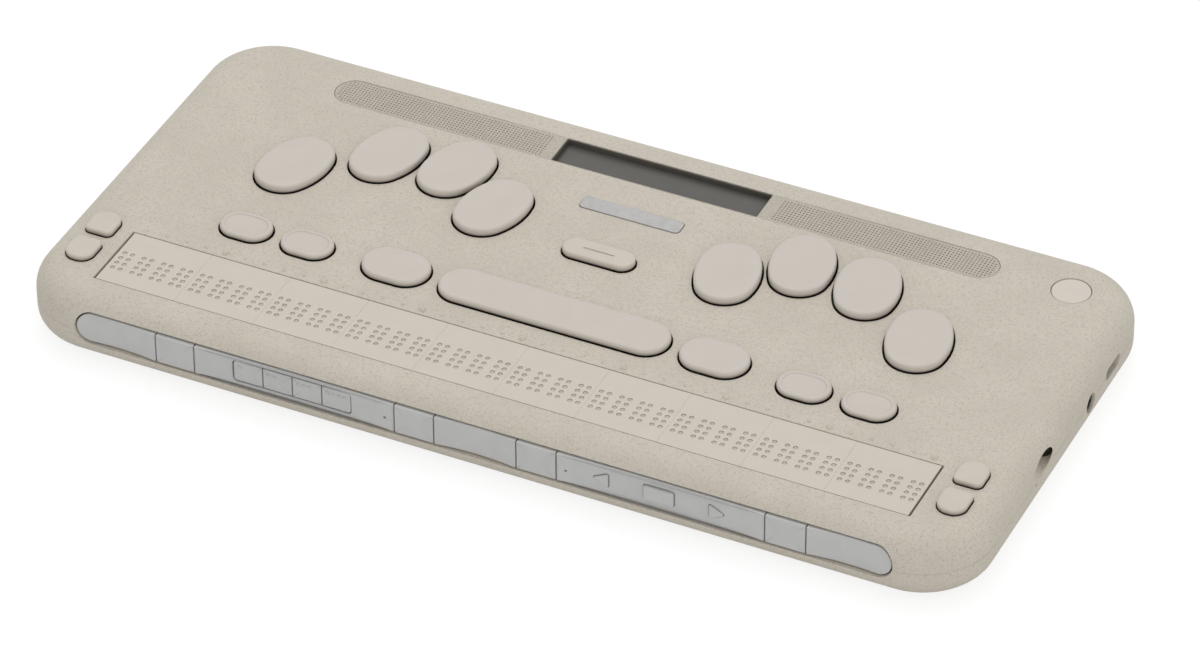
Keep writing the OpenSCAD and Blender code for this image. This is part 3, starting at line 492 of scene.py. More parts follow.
CASE = case_finish("speckled_case_plastic", 1.0)
STRIP = case_finish("speckled_strip_plastic", 0.92)
# Key materials carry painted shade on their sides and painted shadow on their stems
KEY = key_finish_painted_shade("smooth_key_plastic_painted_shade", (203, 195, 186), (200, 193, 184))
SCROLL = key_finish_painted_shade("pale_key_plastic_painted_shade", (205, 197, 185), (201, 193, 181))
PALE = plain_finish("pale_case_plastic", (211, 203, 192), (208, 200, 189), 0.55, 160, 0.4)
CAP = plain_finish("smooth_cap_plastic", (207, 198, 185), (204, 196, 183), 0.5, 160, 0.4)
PIN = plain_finish("grey_pin_plastic", (186, 179, 168), (180, 173, 162), 0.5, 160, 0.4)
BAR = plain_finish("grey_bar_plastic", (194, 194, 192), (190, 190, 188), 0.42, 200, 0.45)
GLASS = plain_finish("dark_display_window", (90, 89, 85), (86, 85, 81), 0.3, 90, 0.3)
METAL = plain_finish("brushed_plate_metal", (172, 171, 169), (164, 163, 161), 0.5, 400, 0.5, 0.5)
# Dark frame of the display's window, also used as painted shade at the covered end of the strap hole
FRAME_AND_HOLE_SHADE = plain_finish("dark_frame_and_hole_shade", (84, 80, 73), (76, 72, 66), 0.5, 200)
DARK = plain_finish("dark_inner_plastic", (46, 45, 43), (38, 37, 36), 0.55, 200)
BOARD = plain_finish("green_board", (34, 84, 58), (26, 70, 48), 0.45, 300)
STEEL = plain_finish("bright_steel", (178, 180, 184), (160, 163, 168), 0.3, 500, 0.5, 1.0)
RUBBER = plain_finish("foot_rubber", (70, 67, 63), (60, 58, 55), 0.8, 500, 0.3)
BY_SLOT = {"case_plastic": CASE, "key_plastic": KEY, "cap_plastic": CAP, "bar_plastic": BAR,
           "window_glass": GLASS, "aluminium": METAL, "dark_plastic": DARK, "board": BOARD,
           "steel": STEEL, "foot_rubber": RUBBER}


# Keys on the top

def roof(flat):
    """Height of the top face: flat out to the edge arc, then down along it."""
    flat = np.asarray(flat)
    reach = np.hypot(np.maximum(np.abs(flat[:, 0]) - HALF_X, 0), np.maximum(np.abs(flat[:, 1]) - HALF_Y, 0))
    return Z_TOP - EDGE_R + np.sqrt(EDGE_R ** 2 - np.clip(reach - EDGE_U, 0, EDGE_R) ** 2)


def flat_top(share):
    """Level face."""
    return 0.0


def dished(depth, rim):
    """Face that sinks smoothly inside a rim, given as a share of the way out."""
    return lambda share: -depth * (1 - min(share / rim, 1) ** 2) ** 2


RING, RING_FOOT, RING_STEP = 0.9, 0.85, 0.28
RING_SHARES = np.concatenate([[1, 0.95], np.linspace(RING, RING_FOOT, 5), np.linspace(RING_FOOT, 0, 8)[1:]])


def ringed(depth):
    """Face with a raised ring: a level ring, a soft step down, and a shallow dish inside."""
    def top(share):
        fall = np.clip((RING - share) / (RING - RING_FOOT), 0, 1)
        return -RING_STEP * fall ** 2 * (3 - 2 * fall) - depth * (1 - min(share / RING_FOOT, 1) ** 2)
    return top


KEY_FOOT = 17.7
KEY_EDGE, KEY_SKIRT = 0.9, 0.45
OVAL_A, OVAL_B, OVAL_END_R, OVAL_LEAN, OVAL_H = 9.75, 13.8, 8.85, 12.4, 2.4
SMALL_L, SMALL_D, SMALL_H, SMALL_EDGE = 16.2, 11.5, 1.7, 0.8
MID_L, MID_D, KEY_H = 21.0, 14.6, 2.0
BAR_KEY_L, BAR_KEY_D = 73.0, 14.8
PILL_L, PILL_D, PILL_GROOVE_L, PILL_GROOVE_W = 22.8, 8.1, 10.0, 0.55
SCROLL_W, SCROLL_D, SCROLL_ARCH, SCROLL_CORNER, SCROLL_H, SCROLL_EDGE = 8.8, 10.0, 4.0, 2.0, 1.7, 0.6
POWER_R, POWER_SINK, POWER_EDGE = 5.85, 0.15, 0.3
KEY_GAP, SCROLL_GAP, BUTTON_GAP = 0.5, 0.25, 0.2


def key_outlines():
    """Every top key by node name: its outline in place and the spine that its top closes on."""
    shapes = {}

    def add(node, arcs, half, turn=0.0, spine_turn=0.0, step=1000.0):
        at = middle(node)[:2]
        outline = placed(chain(arcs, step), at, turn)
        shapes[node] = (outline, line_spine(outline, at, half, turn + spine_turn))

    for i in range(1, 9):
        lean = OVAL_LEAN if i > 4 else -OVAL_LEAN
        add(f"dot_key_{i}", oval(OVAL_A, OVAL_B, OVAL_END_R), OVAL_B - OVAL_A, lean, 90)
    for i in range(1, 5):
        add(f"function_key_{i}", stadium(SMALL_L, SMALL_D), (SMALL_L - SMALL_D) / 2)
    for i in range(1, 3):
        add(f"control_key_{i}", stadium(MID_L, MID_D), (MID_L - MID_D) / 2)
    add("bar_key", stadium(BAR_KEY_L, BAR_KEY_D), (BAR_KEY_L - BAR_KEY_D) / 2, step=3)
    add("pill_key", stadium(PILL_L, PILL_D), (PILL_L - PILL_D) / 2, step=1.5)
    for i in range(1, 5):
        arch, small = SCROLL_ARCH, SCROLL_CORNER
        order = (small, arch, arch, small) if i % 2 else (arch, small, small, arch)
        box = (-SCROLL_W / 2, SCROLL_W / 2, -SCROLL_D / 2, SCROLL_D / 2)
        add(f"scroll_key_{i}", corners(*box, *order), 0, step=0.8)
    add("power_button", circle(POWER_R), 0)
    return shapes


TOP_KEYS = key_outlines()


# Kinds of top key: height, edge radius, face with its depth and its rim, and set-in of the stem
KEY_FORMS = {"dot": (OVAL_H, KEY_EDGE, dished(0.42, 0.8), KEY_SKIRT),
             "function": (SMALL_H, SMALL_EDGE, ringed(0.25), KEY_SKIRT),
             "control": (KEY_H, KEY_EDGE, dished(0.2, 0.9), KEY_SKIRT),
             "bar": (KEY_H, KEY_EDGE, dished(0.12, 0.9), KEY_SKIRT),
             "scroll": (SCROLL_H, SCROLL_EDGE, flat_top, 0.0),
             "power": (-POWER_SINK, POWER_EDGE, dished(0.12, 0.9), 0.0)}


def top_keys():
    """Builds the keys on the top face, one piece for each node."""
    for node, (outline, spine) in TOP_KEYS.items():
        kind = node.split("_")[0]
        if kind == "pill":
            continue
        height, edge, top, skirt = KEY_FORMS[kind]
        shares = RING_SHARES if kind == "function" else PLAIN_SHARES
        shell = key_shell(outline, spine, roof, height, edge, KEY_FOOT, top, skirt, shares)
        finish = {"scroll": SCROLL, "power": PALE}.get(kind, KEY)
        build_moving(node, [shell], finish)


top_keys()


# Case shells

OPENING_DEPTH, OPENING_LIP = WALL, 0.2
DISPLAY_L, DISPLAY_D, DISPLAY_R, DISPLAY_Y = 258.2, 24.6, 0.3, -48.0
STRIP_L, STRIP_D, STRIP_Y, STRIP_TOP, STRIP_T, STRIP_EDGE = 216.2, 12.1, 54.05, 20.85, 1.95, 0.25
FIT_GAP = 0.1
PLATE_L, PLATE_D, PLATE_R, PLATE_Y = 32.4, 5.7, 1.5, 33.4
BUMP_Y, BUMP_R, BIG_BUMP_R, BUMP_SINK = -33.6, 0.65, 1.2, 0.35
CELLS, CELL_PITCH = 40, 6.42
BAR_L, BAR_H, BAR_Z, BAR_LAND, BAR_WINDOW = 257.4, 9.7, 11.7, -68.3, 0.45
SLOT_W, SLOT_H, SLOT_Y, SLOT_Z = 10.8, 3.8, 38.4, 10.6
JACK_Y, JACK_Z, JACK_R = 21.5, 9.4, 3.05
STRAP_Y, STRAP_Z, STRAP_R, STRAP_TILT, STRAP_DEEP, STRAP_SIDES = -15.0, 13.5, 2.6, 22.0, 9.0, 72
PIN_HOLE_Y, PIN_HOLE_Z, PIN_HOLE_R = -19.7, 9.6, 0.45
SCREWS = [(136.5, -60.5), (136.5, 8.0), (112.0, 64.2)]
SCREW_HEAD_R, SCREW_SINK = 2.6, 2.2
FOOT_X, FOOT_Y, FOOT_R, FOOT_SINK = 118.0, 52.0, 7.1, 0.6
GROOVE_W, GROOVE_DEPTH = 0.2, 0.2

# Rows of points on the edge arc, the drop and the belly arc, and the room that rows keep from the parting line,
# and lines and points from the openings
WALL_ROWS = (12, 6, 10)
ROW_ROOM, LINE_ROOM, POINT_ROOM = 0.6, 0.15, 0.4

# Lengths round the case, from its left rear corner past the front, and the corner axis and turn at each break
QUARTER = CORNER_R * pi / 2
ROUND_RUNS = [QUARTER, 2 * HALF_Y, QUARTER, 2 * HALF_X, QUARTER, 2 * HALF_Y, QUARTER, 2 * HALF_X]
ROUND = np.concatenate([[0], np.cumsum(ROUND_RUNS)])
ROUND_X = HALF_X * np.array([-1, -1, -1, -1, 1, 1, 1, 1, -1])
ROUND_Y = HALF_Y * np.array([1, 1, -1, -1, -1, -1, 1, 1, 1])
ROUND_TURN = np.radians([90, 180, 180, 270, 270, 360, 360, 450, 450])
FRONT_START, RIGHT_START = ROUND[3], ROUND[5]
ROUND_STEP = 2.0
ROW = np.concatenate([np.linspace(a, b, round((b - a) / ROUND_STEP) + 1)[:-1]
                      for a, b in zip(ROUND[:-1], ROUND[1:])])

# Lengths down the wall: the edge arc, less the part that the top face follows, the straight drop, the belly arc
ROOF_REACH, ROOF_INSET = 1.6, 1.0
ROOF_DOWN = EDGE_R * asin(ROOF_REACH / EDGE_R)
EDGE_RUN = EDGE_R * pi / 2
DROP_END = EDGE_RUN + Z_EDGE - Z_LOW
WALL_RUN = DROP_END + BELLY_R * pi / 2


def wall_down(z):
    """Length down the wall at a height: the arcs give the arc cosine or arc sine of the height over the radius."""
    over = EDGE_R * np.arccos(np.clip((z - Z_EDGE) / EDGE_R, 0, 1))
    under = BELLY_R * np.arcsin(np.clip((Z_LOW - z) / BELLY_R, 0, 1))
    return over + np.clip(Z_EDGE - z, 0, Z_EDGE - Z_LOW) + under


PART_DOWN = float(wall_down(Z_PART))


def around_case(along, u):
    """Plan points at a length round the case and a distance u out from its corner axes."""
    turn = np.interp(along, ROUND, ROUND_TURN)
    x = np.interp(along, ROUND, ROUND_X) + u * np.cos(turn)
    y = np.interp(along, ROUND, ROUND_Y) + u * np.sin(turn)
    return np.stack([x, y], -1)


def wall_profile(down):
    """Distance out, height and outward slope at a length down the wall: the edge arc turns from level to upright,
    the straight drop holds, and the belly arc turns under."""
    over = np.clip(down, 0, EDGE_RUN) / EDGE_R
    drop = np.clip(down, EDGE_RUN, DROP_END) - EDGE_RUN
    under = np.clip(down - DROP_END, 0, WALL_RUN - DROP_END) / BELLY_R
    u = EDGE_U + EDGE_R * np.sin(over) - BELLY_R * (1 - np.cos(under))
    z = Z_TOP - EDGE_R * (1 - np.cos(over)) - drop - BELLY_R * np.sin(under)
    return u, z, pi / 2 - over - under


def on_wall(place):
    """Wall points at lengths round and down the case, sunk by the groove along the parting line."""
    along, down = place[:, 0], place[:, 1]
    u, z, turn = wall_profile(down)
    sink = GROOVE_DEPTH * np.clip(1 - np.abs(down - PART_DOWN) / GROOVE_W, 0, 1)
    return np.column_stack([around_case(along, u - sink * np.cos(turn)), z - sink * np.sin(turn)])


def wall_place(side, flat):
    """Lengths round and down the case of points given by their place along the front or right side and height."""
    down = wall_down(flat[:, 1])
    if side == "right":
        return np.stack([RIGHT_START + HALF_Y + flat[:, 0], down], 1)
    u = wall_profile(down)[0]
    past = CORNER_R * np.arcsin(np.clip(np.abs(flat[:, 0]) - HALF_X, 0, None) / u)
    along = np.clip(flat[:, 0], -HALF_X, HALF_X) + np.sign(flat[:, 0]) * past
    return np.stack([FRONT_START + HALF_X + along, down], 1)


def with_levels(outline, grow):
    """Outline with points added where, grown, it crosses the parting line and the two edges of its groove."""
    for step in (-1, 0, 1):
        point, normal = outline
        high = point[:, 1] + grow * normal[:, 1] - Z_PART - step * GROOVE_W
        ahead = np.roll(high, -1)
        at = np.flatnonzero(high * ahead < 0)
        share = (high[at] / (high[at] - ahead[at]))[:, None]
        outline = tuple(np.insert(a, at + 1, a[at] + share * (np.roll(a, -1, 0)[at] - a[at]), 0) for a in outline)
    return outline


def edge_in_wall(side, outline, lip, stop):
    """Edge of an opening in the wall: a quarter round from the grown outline, then straight in to the stop."""
    point, normal = outline
    across, inward = (0, 1) if side == "front" else (1, 0)
    out = np.zeros((len(point), 3))
    out[:, across], out[:, 2] = normal[:, 0], normal[:, 1]
    sink = np.zeros(3)
    sink[inward] = 1 if side == "front" else -1
    face = on_wall(wall_place(side, point + lip * normal))
    rings = [face + lip * ((1 - cos(a)) * sink - sin(a) * out) for a in np.linspace(0, pi / 2, LIP_STEPS)]
    last = rings[-1].copy()
    last[:, inward] = stop
    return loft(rings + [last])


def strap_hole():
    """Slanting round hole in the right side: its outline on the wall as place and height, its open stretch and
    its covered end. Each line along the hole meets the wall where the line's x is the wall's x at its height."""
    side, rise = STRAP_R * ring(STRAP_SIDES).T
    tilt = radians(STRAP_TILT)
    z = STRAP_Z + rise
    wall_x = HALF_X + wall_profile(wall_down(z))[0]
    axis_x = BODY_W / 2
    reach = (axis_x + side * cos(tilt) - wall_x) / sin(tilt)
    y = STRAP_Y + reach * cos(tilt) + side * sin(tilt)
    outline = with_levels((np.stack([y, z], 1), np.zeros((len(y), 2))), 0)
    face = on_wall(wall_place("right", outline[0]))
    middle_line = np.array([axis_x, STRAP_Y, STRAP_Z])
    inward = np.array([-sin(tilt), cos(tilt), 0])
    travel = (face - middle_line) @ inward
    across = face - travel[:, None] * inward
    cover = across + (travel.max() + LIP) * inward
    end = across + STRAP_DEEP * inward
    deep = np.broadcast_to(middle_line + STRAP_DEEP * inward, end.shape)
    return outline, loft([face, cover]), loft([cover, end, deep])


def halves(part, count):
    """Part of a loft whose columns are split at the parting line: the upper and the lower piece."""
    points, faces = part
    z = points[:count, 2]
    upper = (z + np.roll(z, -1)) / 2 > Z_PART
    mask = np.tile(upper, len(faces) // count)
    return (points, faces[mask]), (points, faces[~mask])


def case_walls():
    """Side walls of both shells: a sheet in lengths round and down, with the openings, bent onto the wall."""
    window = with_levels(placed(chain(stadium(BAR_L + 2 * BAR_WINDOW, BAR_H + 2 * BAR_WINDOW), 3, 4),
                                (0, BAR_Z)), LIP)
    slot = with_levels(placed(chain(stadium(SLOT_W, SLOT_H), 1), (SLOT_Y, SLOT_Z)), LIP)
    jack = with_levels(placed(chain(circle(JACK_R)), (JACK_Y, JACK_Z)), LIP)
    pin_hole = placed(chain(circle(PIN_HOLE_R), turn_step=20), (PIN_HOLE_Y, PIN_HOLE_Z))
    strap, strap_wall, strap_end_painted_shade = strap_hole()
    inner_x = BODY_W / 2 - WALL
    edges = [("front", window, LIP, BAR_LAND), ("right", slot, LIP, inner_x), ("right", jack, LIP, inner_x),
             ("right", pin_hole, 0.0, inner_x)]
    holes = [wall_place(side, o[0] + lip * o[1]) for side, o, lip, _ in edges] + [wall_place("right", strap[0])]
    levels = PART_DOWN + GROOVE_W * np.array([-1, 0, 1])
    breaks = (ROOF_DOWN, EDGE_RUN, DROP_END, WALL_RUN)
    rows = np.unique(np.concatenate([np.linspace(a, b, n) for a, b, n in zip(breaks, breaks[1:], WALL_ROWS)]))
    rows = np.sort(np.concatenate([rows[np.abs(rows - PART_DOWN) > ROW_ROOM], levels]))
    whole, inner = np.append(ROW, ROUND[-1]), rows[1:-1]
    border = np.concatenate([grid_points(whole, rows[:1]), grid_points(whole[-1:], inner),
                             grid_points(whole, rows[-1:])[::-1], grid_points(whole[:1], inner)[::-1]])
    grid = grid_points(ROW[1:], inner[~np.isin(inner, levels)])
    lines = [clear_of(grid_points(whole, [down]), holes, LINE_ROOM) for down in levels]
    flat, triangles = sheet([border] + holes, clear_of(grid, holes, POINT_ROOM), lines)
    points = on_wall(flat)
    upper = flat[triangles][..., 1].mean(1) < PART_DOWN
    triangles = triangles[:, ::-1]
    tops, bottoms = [(points, triangles[upper])], [(points, triangles[~upper])]
    rims = [(edge_in_wall(*edge), len(edge[1][0])) for edge in edges] + [(strap_wall, len(strap[0]))]
    for part, count in rims:
        top, bottom = halves(part, count)
        tops.append(top)
        bottoms.append(bottom)
    return tops, bottoms, strap_end_painted_shade


def top_face():
    """Top of the upper shell out onto the edge arc, with an opening for every key, the display, the rear strip and
    the plate, and the row of raised bumps that count the cells."""
    gaps = {"scroll": SCROLL_GAP, "power": BUTTON_GAP}
    holes = [grown(outline, gaps.get(node.split("_")[0], KEY_GAP)) for node, (outline, _) in TOP_KEYS.items()]
    holes.append(placed(chain(rounded(DISPLAY_L, DISPLAY_D, DISPLAY_R), 6), (0, DISPLAY_Y)))
    holes.append(placed(chain(stadium(STRIP_L + 2 * FIT_GAP, STRIP_D + 2 * FIT_GAP), 6), (0, STRIP_Y)))
    holes.append(placed(chain(rounded(PLATE_L + 2 * FIT_GAP, PLATE_D + 2 * FIT_GAP, PLATE_R), 6), (0, PLATE_Y)))
    extra = np.concatenate([around_case(ROW, EDGE_U + u) for u in (-ROOF_INSET, 0, ROOF_REACH / 2)])
    rim = around_case(ROW, EDGE_U + ROOF_REACH)
    parts = plate((rim, np.zeros_like(rim)), holes, roof, None, 0, extra, OPENING_DEPTH, OPENING_LIP)
    number = np.arange(CELLS)
    x = (number - (CELLS - 1) / 2) * CELL_PITCH
    large = number % 5 == 4
    for mask, r in ((large, BIG_BUMP_R), (~large, BUMP_R)):
        parts.append(domes(raised(grid_points(x[mask], [BUMP_Y]), Z_TOP - BUMP_SINK * r), r))
    return parts


def underside():
    """Bottom face with the screw holes and the feet's seats, made face up and turned over about the x axis."""
    rim = around_case(ROW, BELLY_U)
    screws = [placed(chain(circle(SCREW_HEAD_R)), (side * x, -y)) for x, y in SCREWS for side in (-1, 1)]
    feet = [placed(chain(circle(FOOT_R)), at) for at in grid_points((-FOOT_X, FOOT_X), (-FOOT_Y, FOOT_Y))]
    deep = [SCREW_SINK] * len(screws) + [FOOT_SINK] * len(feet)
    parts = plate((rim, np.zeros_like(rim)), screws + feet, level(-Z_BOTTOM), None, 0, NO_POINTS, deep)
    return [(points * [1, -1, -1], faces) for points, faces in parts]


def case_shells():
    """Upper and lower shell, each its wall and its face in one piece, and the strap hole's covered end, made dark
    as painted shade.
    """
    tops, bottoms, strap_end_painted_shade = case_walls()
    build("upper_shell", top_face() + tops, "case", CASE, ["top_case"])
    build("lower_shell", underside() + bottoms, "case", CASE, ["bottom_case"])
    # Painted shade: the covered end of the strap hole is dark, for the shade deep inside it
    build("strap_hole_painted_shade", [strap_end_painted_shade], "case", FRAME_AND_HOLE_SHADE, ["top_case"])


case_shells()


# Rear strip, plate and pill key

WINDOW_W, WINDOW_D, WINDOW_R, WINDOW_LIP = 66.3, 11.5, 0.2, 0.45
GRILLE_PITCH, GRILLE_R, GRILLE_MARGIN, GRILLE_END, GRILLE_SIDES = 1.05, 0.26, 4.9, 0.75, 8
PLATE_TOP, PLATE_FOOT, PLATE_EDGE = 21.3, 20.6, 0.25
PILL_EDGE, PILL_GROOVE_DEEP, PILL_GROOVE_LIP = 0.7, 0.35, 0.08


def grille_holes():
    """Centres of the fine grille's holes: a square grid beside the window that keeps clear of the strip's edge."""
    half = STRIP_L / 2 - STRIP_D / 2
    x = np.arange(WINDOW_W / 2 + GRILLE_MARGIN, STRIP_L / 2, GRILLE_PITCH)
    rows = int((STRIP_D / 2 - GRILLE_END) / GRILLE_PITCH)
    y = (np.arange(2 * rows) - rows + 0.5) * GRILLE_PITCH
    grid = grid_points(x, y)
    grid = grid[np.hypot(np.maximum(grid[:, 0] - half, 0), grid[:, 1]) < STRIP_D / 2 - GRILLE_END]
    return np.concatenate([grid * [-1, 1], grid]) + [0, STRIP_Y]


def rear_strip():
    """Strip at the rear with a fine grille in both ends and the display's window in its middle."""
    outline = placed(chain(stadium(STRIP_L, STRIP_D), 4), (0, STRIP_Y))
    window = placed(chain(rounded(WINDOW_W, WINDOW_D, WINDOW_R), 4), (0, STRIP_Y))
    hole, places = GRILLE_R * ring(GRILLE_SIDES), grille_holes()
    lift = level(STRIP_TOP)
    loops = [grown(outline, -STRIP_EDGE)[0], grown(window, WINDOW_LIP)[0], *(places[:, None] + hole)]
    flat, triangles = sheet(loops, NO_POINTS)
    foot = STRIP_TOP - STRIP_T
    tube = loft([raised(hole, STRIP_TOP), raised(hole, foot)])
    parts = [(raised(flat, lift(flat)), triangles), plate_side(outline, lift, foot, STRIP_EDGE),
             copies(tube, raised(places, 0))]
    build("rear_strip", parts, "case", STRIP, ["speaker_panel"])
    build("window_frame", [hole_wall(window, lift, STRIP_T, WINDOW_LIP)], "case", FRAME_AND_HOLE_SHADE,
          ["speaker_panel"])


def bare_plate():
    """Small metal plate with a rounded edge."""
    outline = placed(chain(rounded(PLATE_L, PLATE_D, PLATE_R), 2), (0, PLATE_Y))
    parts = plate(outline, [], level(PLATE_TOP), PLATE_FOOT, PLATE_EDGE, NO_POINTS, 0)
    build("bare_plate", parts, "case", METAL, ["name_plate"])


def pill_key():
    """Pill key with a short engraved line: a plate with one long hole that has a round floor."""
    outline = TOP_KEYS["pill_key"][0]
    at = middle("pill_key")[:2]
    groove = placed(chain(stadium(PILL_GROOVE_L, PILL_GROOVE_W), 1, 15), at)
    spine = line_spine(groove, at, (PILL_GROOVE_L - PILL_GROOVE_W) / 2)
    face, overhang = Z_TOP + KEY_H, Z_TOP + OVERHANG
    floor = face - PILL_GROOVE_DEEP
    parts = plate(outline, [groove], level(face), overhang, PILL_EDGE, NO_POINTS, PILL_GROOVE_DEEP, PILL_GROOVE_LIP)
    stem = grown(outline, -KEY_SKIRT)[0]
    parts.append(loft([raised(stem, KEY_FOOT), raised(stem, overhang), raised(outline[0], overhang)]))
    parts.append(loft([raised(groove[0], floor), raised(spine, floor)]))
    build_moving("pill_key", parts, SCROLL)


rear_strip()
bare_plate()
pill_key()


# Display caps

CAPS, CAP_L, CAP_D, CAP_SLIT, CAP_TOP, CAP_FOOT = 10, 25.68, 24.0, 0.03, 20.85, 18.65
CAP_R, CAP_EDGE, CAP_LIP = 0.12, 0.04, 0.06
DOT_PITCH, DOT_Y, DOT_R = 2.5, -45.8, 0.75
PIN_R, PIN_L, PIN_TOP, PIN_DOME, PIN_SIDES = 0.66, 1.5, 20.76, 0.12, 12

# Rings of a pin's dome: share of its radius, and of its height below the tip
PIN_TIP = ((1, 1), (0.8, 0.4), (0.45, 0.1), (0, 0))


def display_caps():
    """Ten caps, four cells to a cap and eight holes to a cell: one cap is made and set beside itself."""
    cell = np.arange(4) * CELL_PITCH + CELL_PITCH / 2 - CAP_L / 2
    x = (cell[:, None] + DOT_PITCH / 2 * np.array([-1, 1])).ravel()
    y = DOT_Y - DOT_PITCH * np.arange(4)
    dot = chain(circle(DOT_R), turn_step=22.5)
    holes = [placed(dot, at) for at in grid_points(x, y)]
    outline = placed(chain(rounded(CAP_L - CAP_SLIT, CAP_D, CAP_R), 6, 30), (0, DISPLAY_Y))
    one = plate(outline, holes, level(CAP_TOP), CAP_FOOT, CAP_EDGE, NO_POINTS, CAP_TOP - CAP_FOOT, CAP_LIP)
    places = np.outer(np.arange(CAPS) - (CAPS - 1) / 2, [CAP_L, 0, 0])
    build("display_caps", [copies(part, places) for part in one], "case", CAP, ["cell_caps"])


def pins(node, side):
    """Pins of one column of every cell: a straight side and a low dome, whose rings shrink to the tip."""
    side_ring = PIN_R * ring(PIN_SIDES)
    tip = [raised(share * side_ring, PIN_TOP - PIN_DOME * drop) for share, drop in PIN_TIP]
    pin = loft([raised(side_ring, PIN_TOP - PIN_L)] + tip)
    x = (np.arange(CELLS) - (CELLS - 1) / 2) * CELL_PITCH + side * DOT_PITCH / 2
    y = DOT_Y - DOT_PITCH * np.arange(4)
    build_moving(node, [copies(pin, raised(grid_points(x, y), 0))], PIN)


display_caps()
pins("pins_left_column", -1)
pins("pins_right_column", 1)


# Front bar

BAR_OUT, BAR_FOOT, BAR_GAP, BAR_EDGE, BAR_CORNER = 71.9, 68.0, 0.35, 0.35, 0.3
THUMB_IN, THUMB_OUT, SCOOP, SCOOP_END = (13.0, 25.6), (90.15, 102.7), 0.8, 0.6
PANEL_DEPTH, PANEL_LIP, PANEL_STEP, PANEL_PIN_X, PANEL_PIN_Z = 2.0, 0.12, 1.0, 28.6, 11.1
PROGRAM_X, PROGRAM_L, PROGRAM_H, PROGRAM_GAP = -58.65, 9.17, 6.9, 0.35
PROGRAM_R, PROGRAM_INNER_R, PROGRAM_EDGE = 1.0, 0.2, 0.25
PROGRAM_BUMP_R, PROGRAM_BUMP_SINK, PROGRAM_BUMP_UP, PROGRAM_BUMP_STEP = 0.6, 0.12, 1.6, 1.8
MEDIA_X, MEDIA_S, MEDIA_WIDE, MEDIA_GAP, MEDIA_EDGE = (39.3, 57.4, 75.5), 5.0, 9.3, 0.2, 0.4
MEDIA_BOX_R, MEDIA_POINT_R = 0.6, 0.45


def scooped(x0, x1):
    """Height of the bar's face between two ends: sunk by a shallow upright cylinder that leaves both ends full."""
    half = (x1 - x0) / 2 - SCOOP_END
    r = (half ** 2 + SCOOP ** 2) / (2 * SCOOP)
    return lambda flat: BAR_OUT - np.maximum(
        0, SCOOP - r + np.sqrt(r ** 2 - np.clip(np.abs(flat[:, 0] - (x0 + x1) / 2), 0, r) ** 2))


def bar_section(x0, x1, left_r, right_r):
    """Outline of one section of the bar, finely divided so that it follows the scoop."""
    low, high = BAR_Z - BAR_H / 2, BAR_Z + BAR_H / 2
    return chain(corners(x0, x1, low, high, right_r, right_r, left_r, left_r), 0.8, 7.5)


def front_key(node, outline, at, half, lift, edge, *more):
    """Front key whose face closes on a line of half length half through its middle, with any more parts."""
    shell = key_shell(outline, line_spine(outline, at, half), lift, 0, edge, BAR_FOOT, flat_top)
    build_moving(node, [front_facing(part) for part in (shell, *more)], BAR)


def bar_keys():
    """Keys of the front bar that fill its whole height: two end keys, four thumb keys and the centre key."""
    small, large, gap = BAR_CORNER, BAR_H / 2, BAR_GAP / 2
    spans = {"end_key_left": (-BAR_L / 2, -THUMB_OUT[1] - gap, large, small),
             "end_key_right": (THUMB_OUT[1] + gap, BAR_L / 2, small, large),
             "centre_key": (gap - THUMB_IN[0], THUMB_IN[0] - gap, small, small)}
    for i, (a, b) in enumerate((THUMB_OUT, THUMB_IN)):
        spans[f"thumb_key_{i + 1}"] = (gap - b, -a - gap, small, small)
        spans[f"thumb_key_{4 - i}"] = (a + gap, b - gap, small, small)
    for node, (x0, x1, left_r, right_r) in spans.items():
        outline = bar_section(x0, x1, left_r, right_r)
        lift = level(BAR_OUT) if node.startswith("thumb") else scooped(x0, x1)
        front_key(node, outline, ((x0 + x1) / 2, BAR_Z), (x1 - x0 - BAR_H) / 2, lift, BAR_EDGE)


def media_outline(number):
    """Outline of a media key about its own middle: a triangle to the left, a long box, a triangle to the right."""
    half = MEDIA_S / 2
    if number == 1:
        return chain(rounded(MEDIA_WIDE, MEDIA_S, MEDIA_BOX_R), 0.8, 10)
    point = 1 if number == 2 else -1
    vertices = [(half * point, 0), (-half * point, half * point), (-half * point, -half * point)]
    return chain(soft_polygon(vertices, MEDIA_POINT_R), 0.5, 10)


def bar_panel(node, x0, x1, holes):
    """Panel of the front bar with its holes, scooped along its length."""
    outline = bar_section(x0, x1, BAR_CORNER, BAR_CORNER)
    x = np.arange(x0 + PANEL_STEP, x1 - PANEL_STEP / 2, PANEL_STEP)
    grid = grid_points(x, BAR_Z + PANEL_STEP * np.arange(-4, 5))
    side = 1 if x0 > 0 else -1
    pin_hole = placed(chain(circle(PIN_HOLE_R), turn_step=20), (side * PANEL_PIN_X, PANEL_PIN_Z))
    parts = plate(outline, holes + [pin_hole], scooped(x0, x1), BAR_FOOT, BAR_EDGE, grid, PANEL_DEPTH, PANEL_LIP)
    build(node + "_piece", [front_facing(part) for part in parts], "case", BAR, [node])


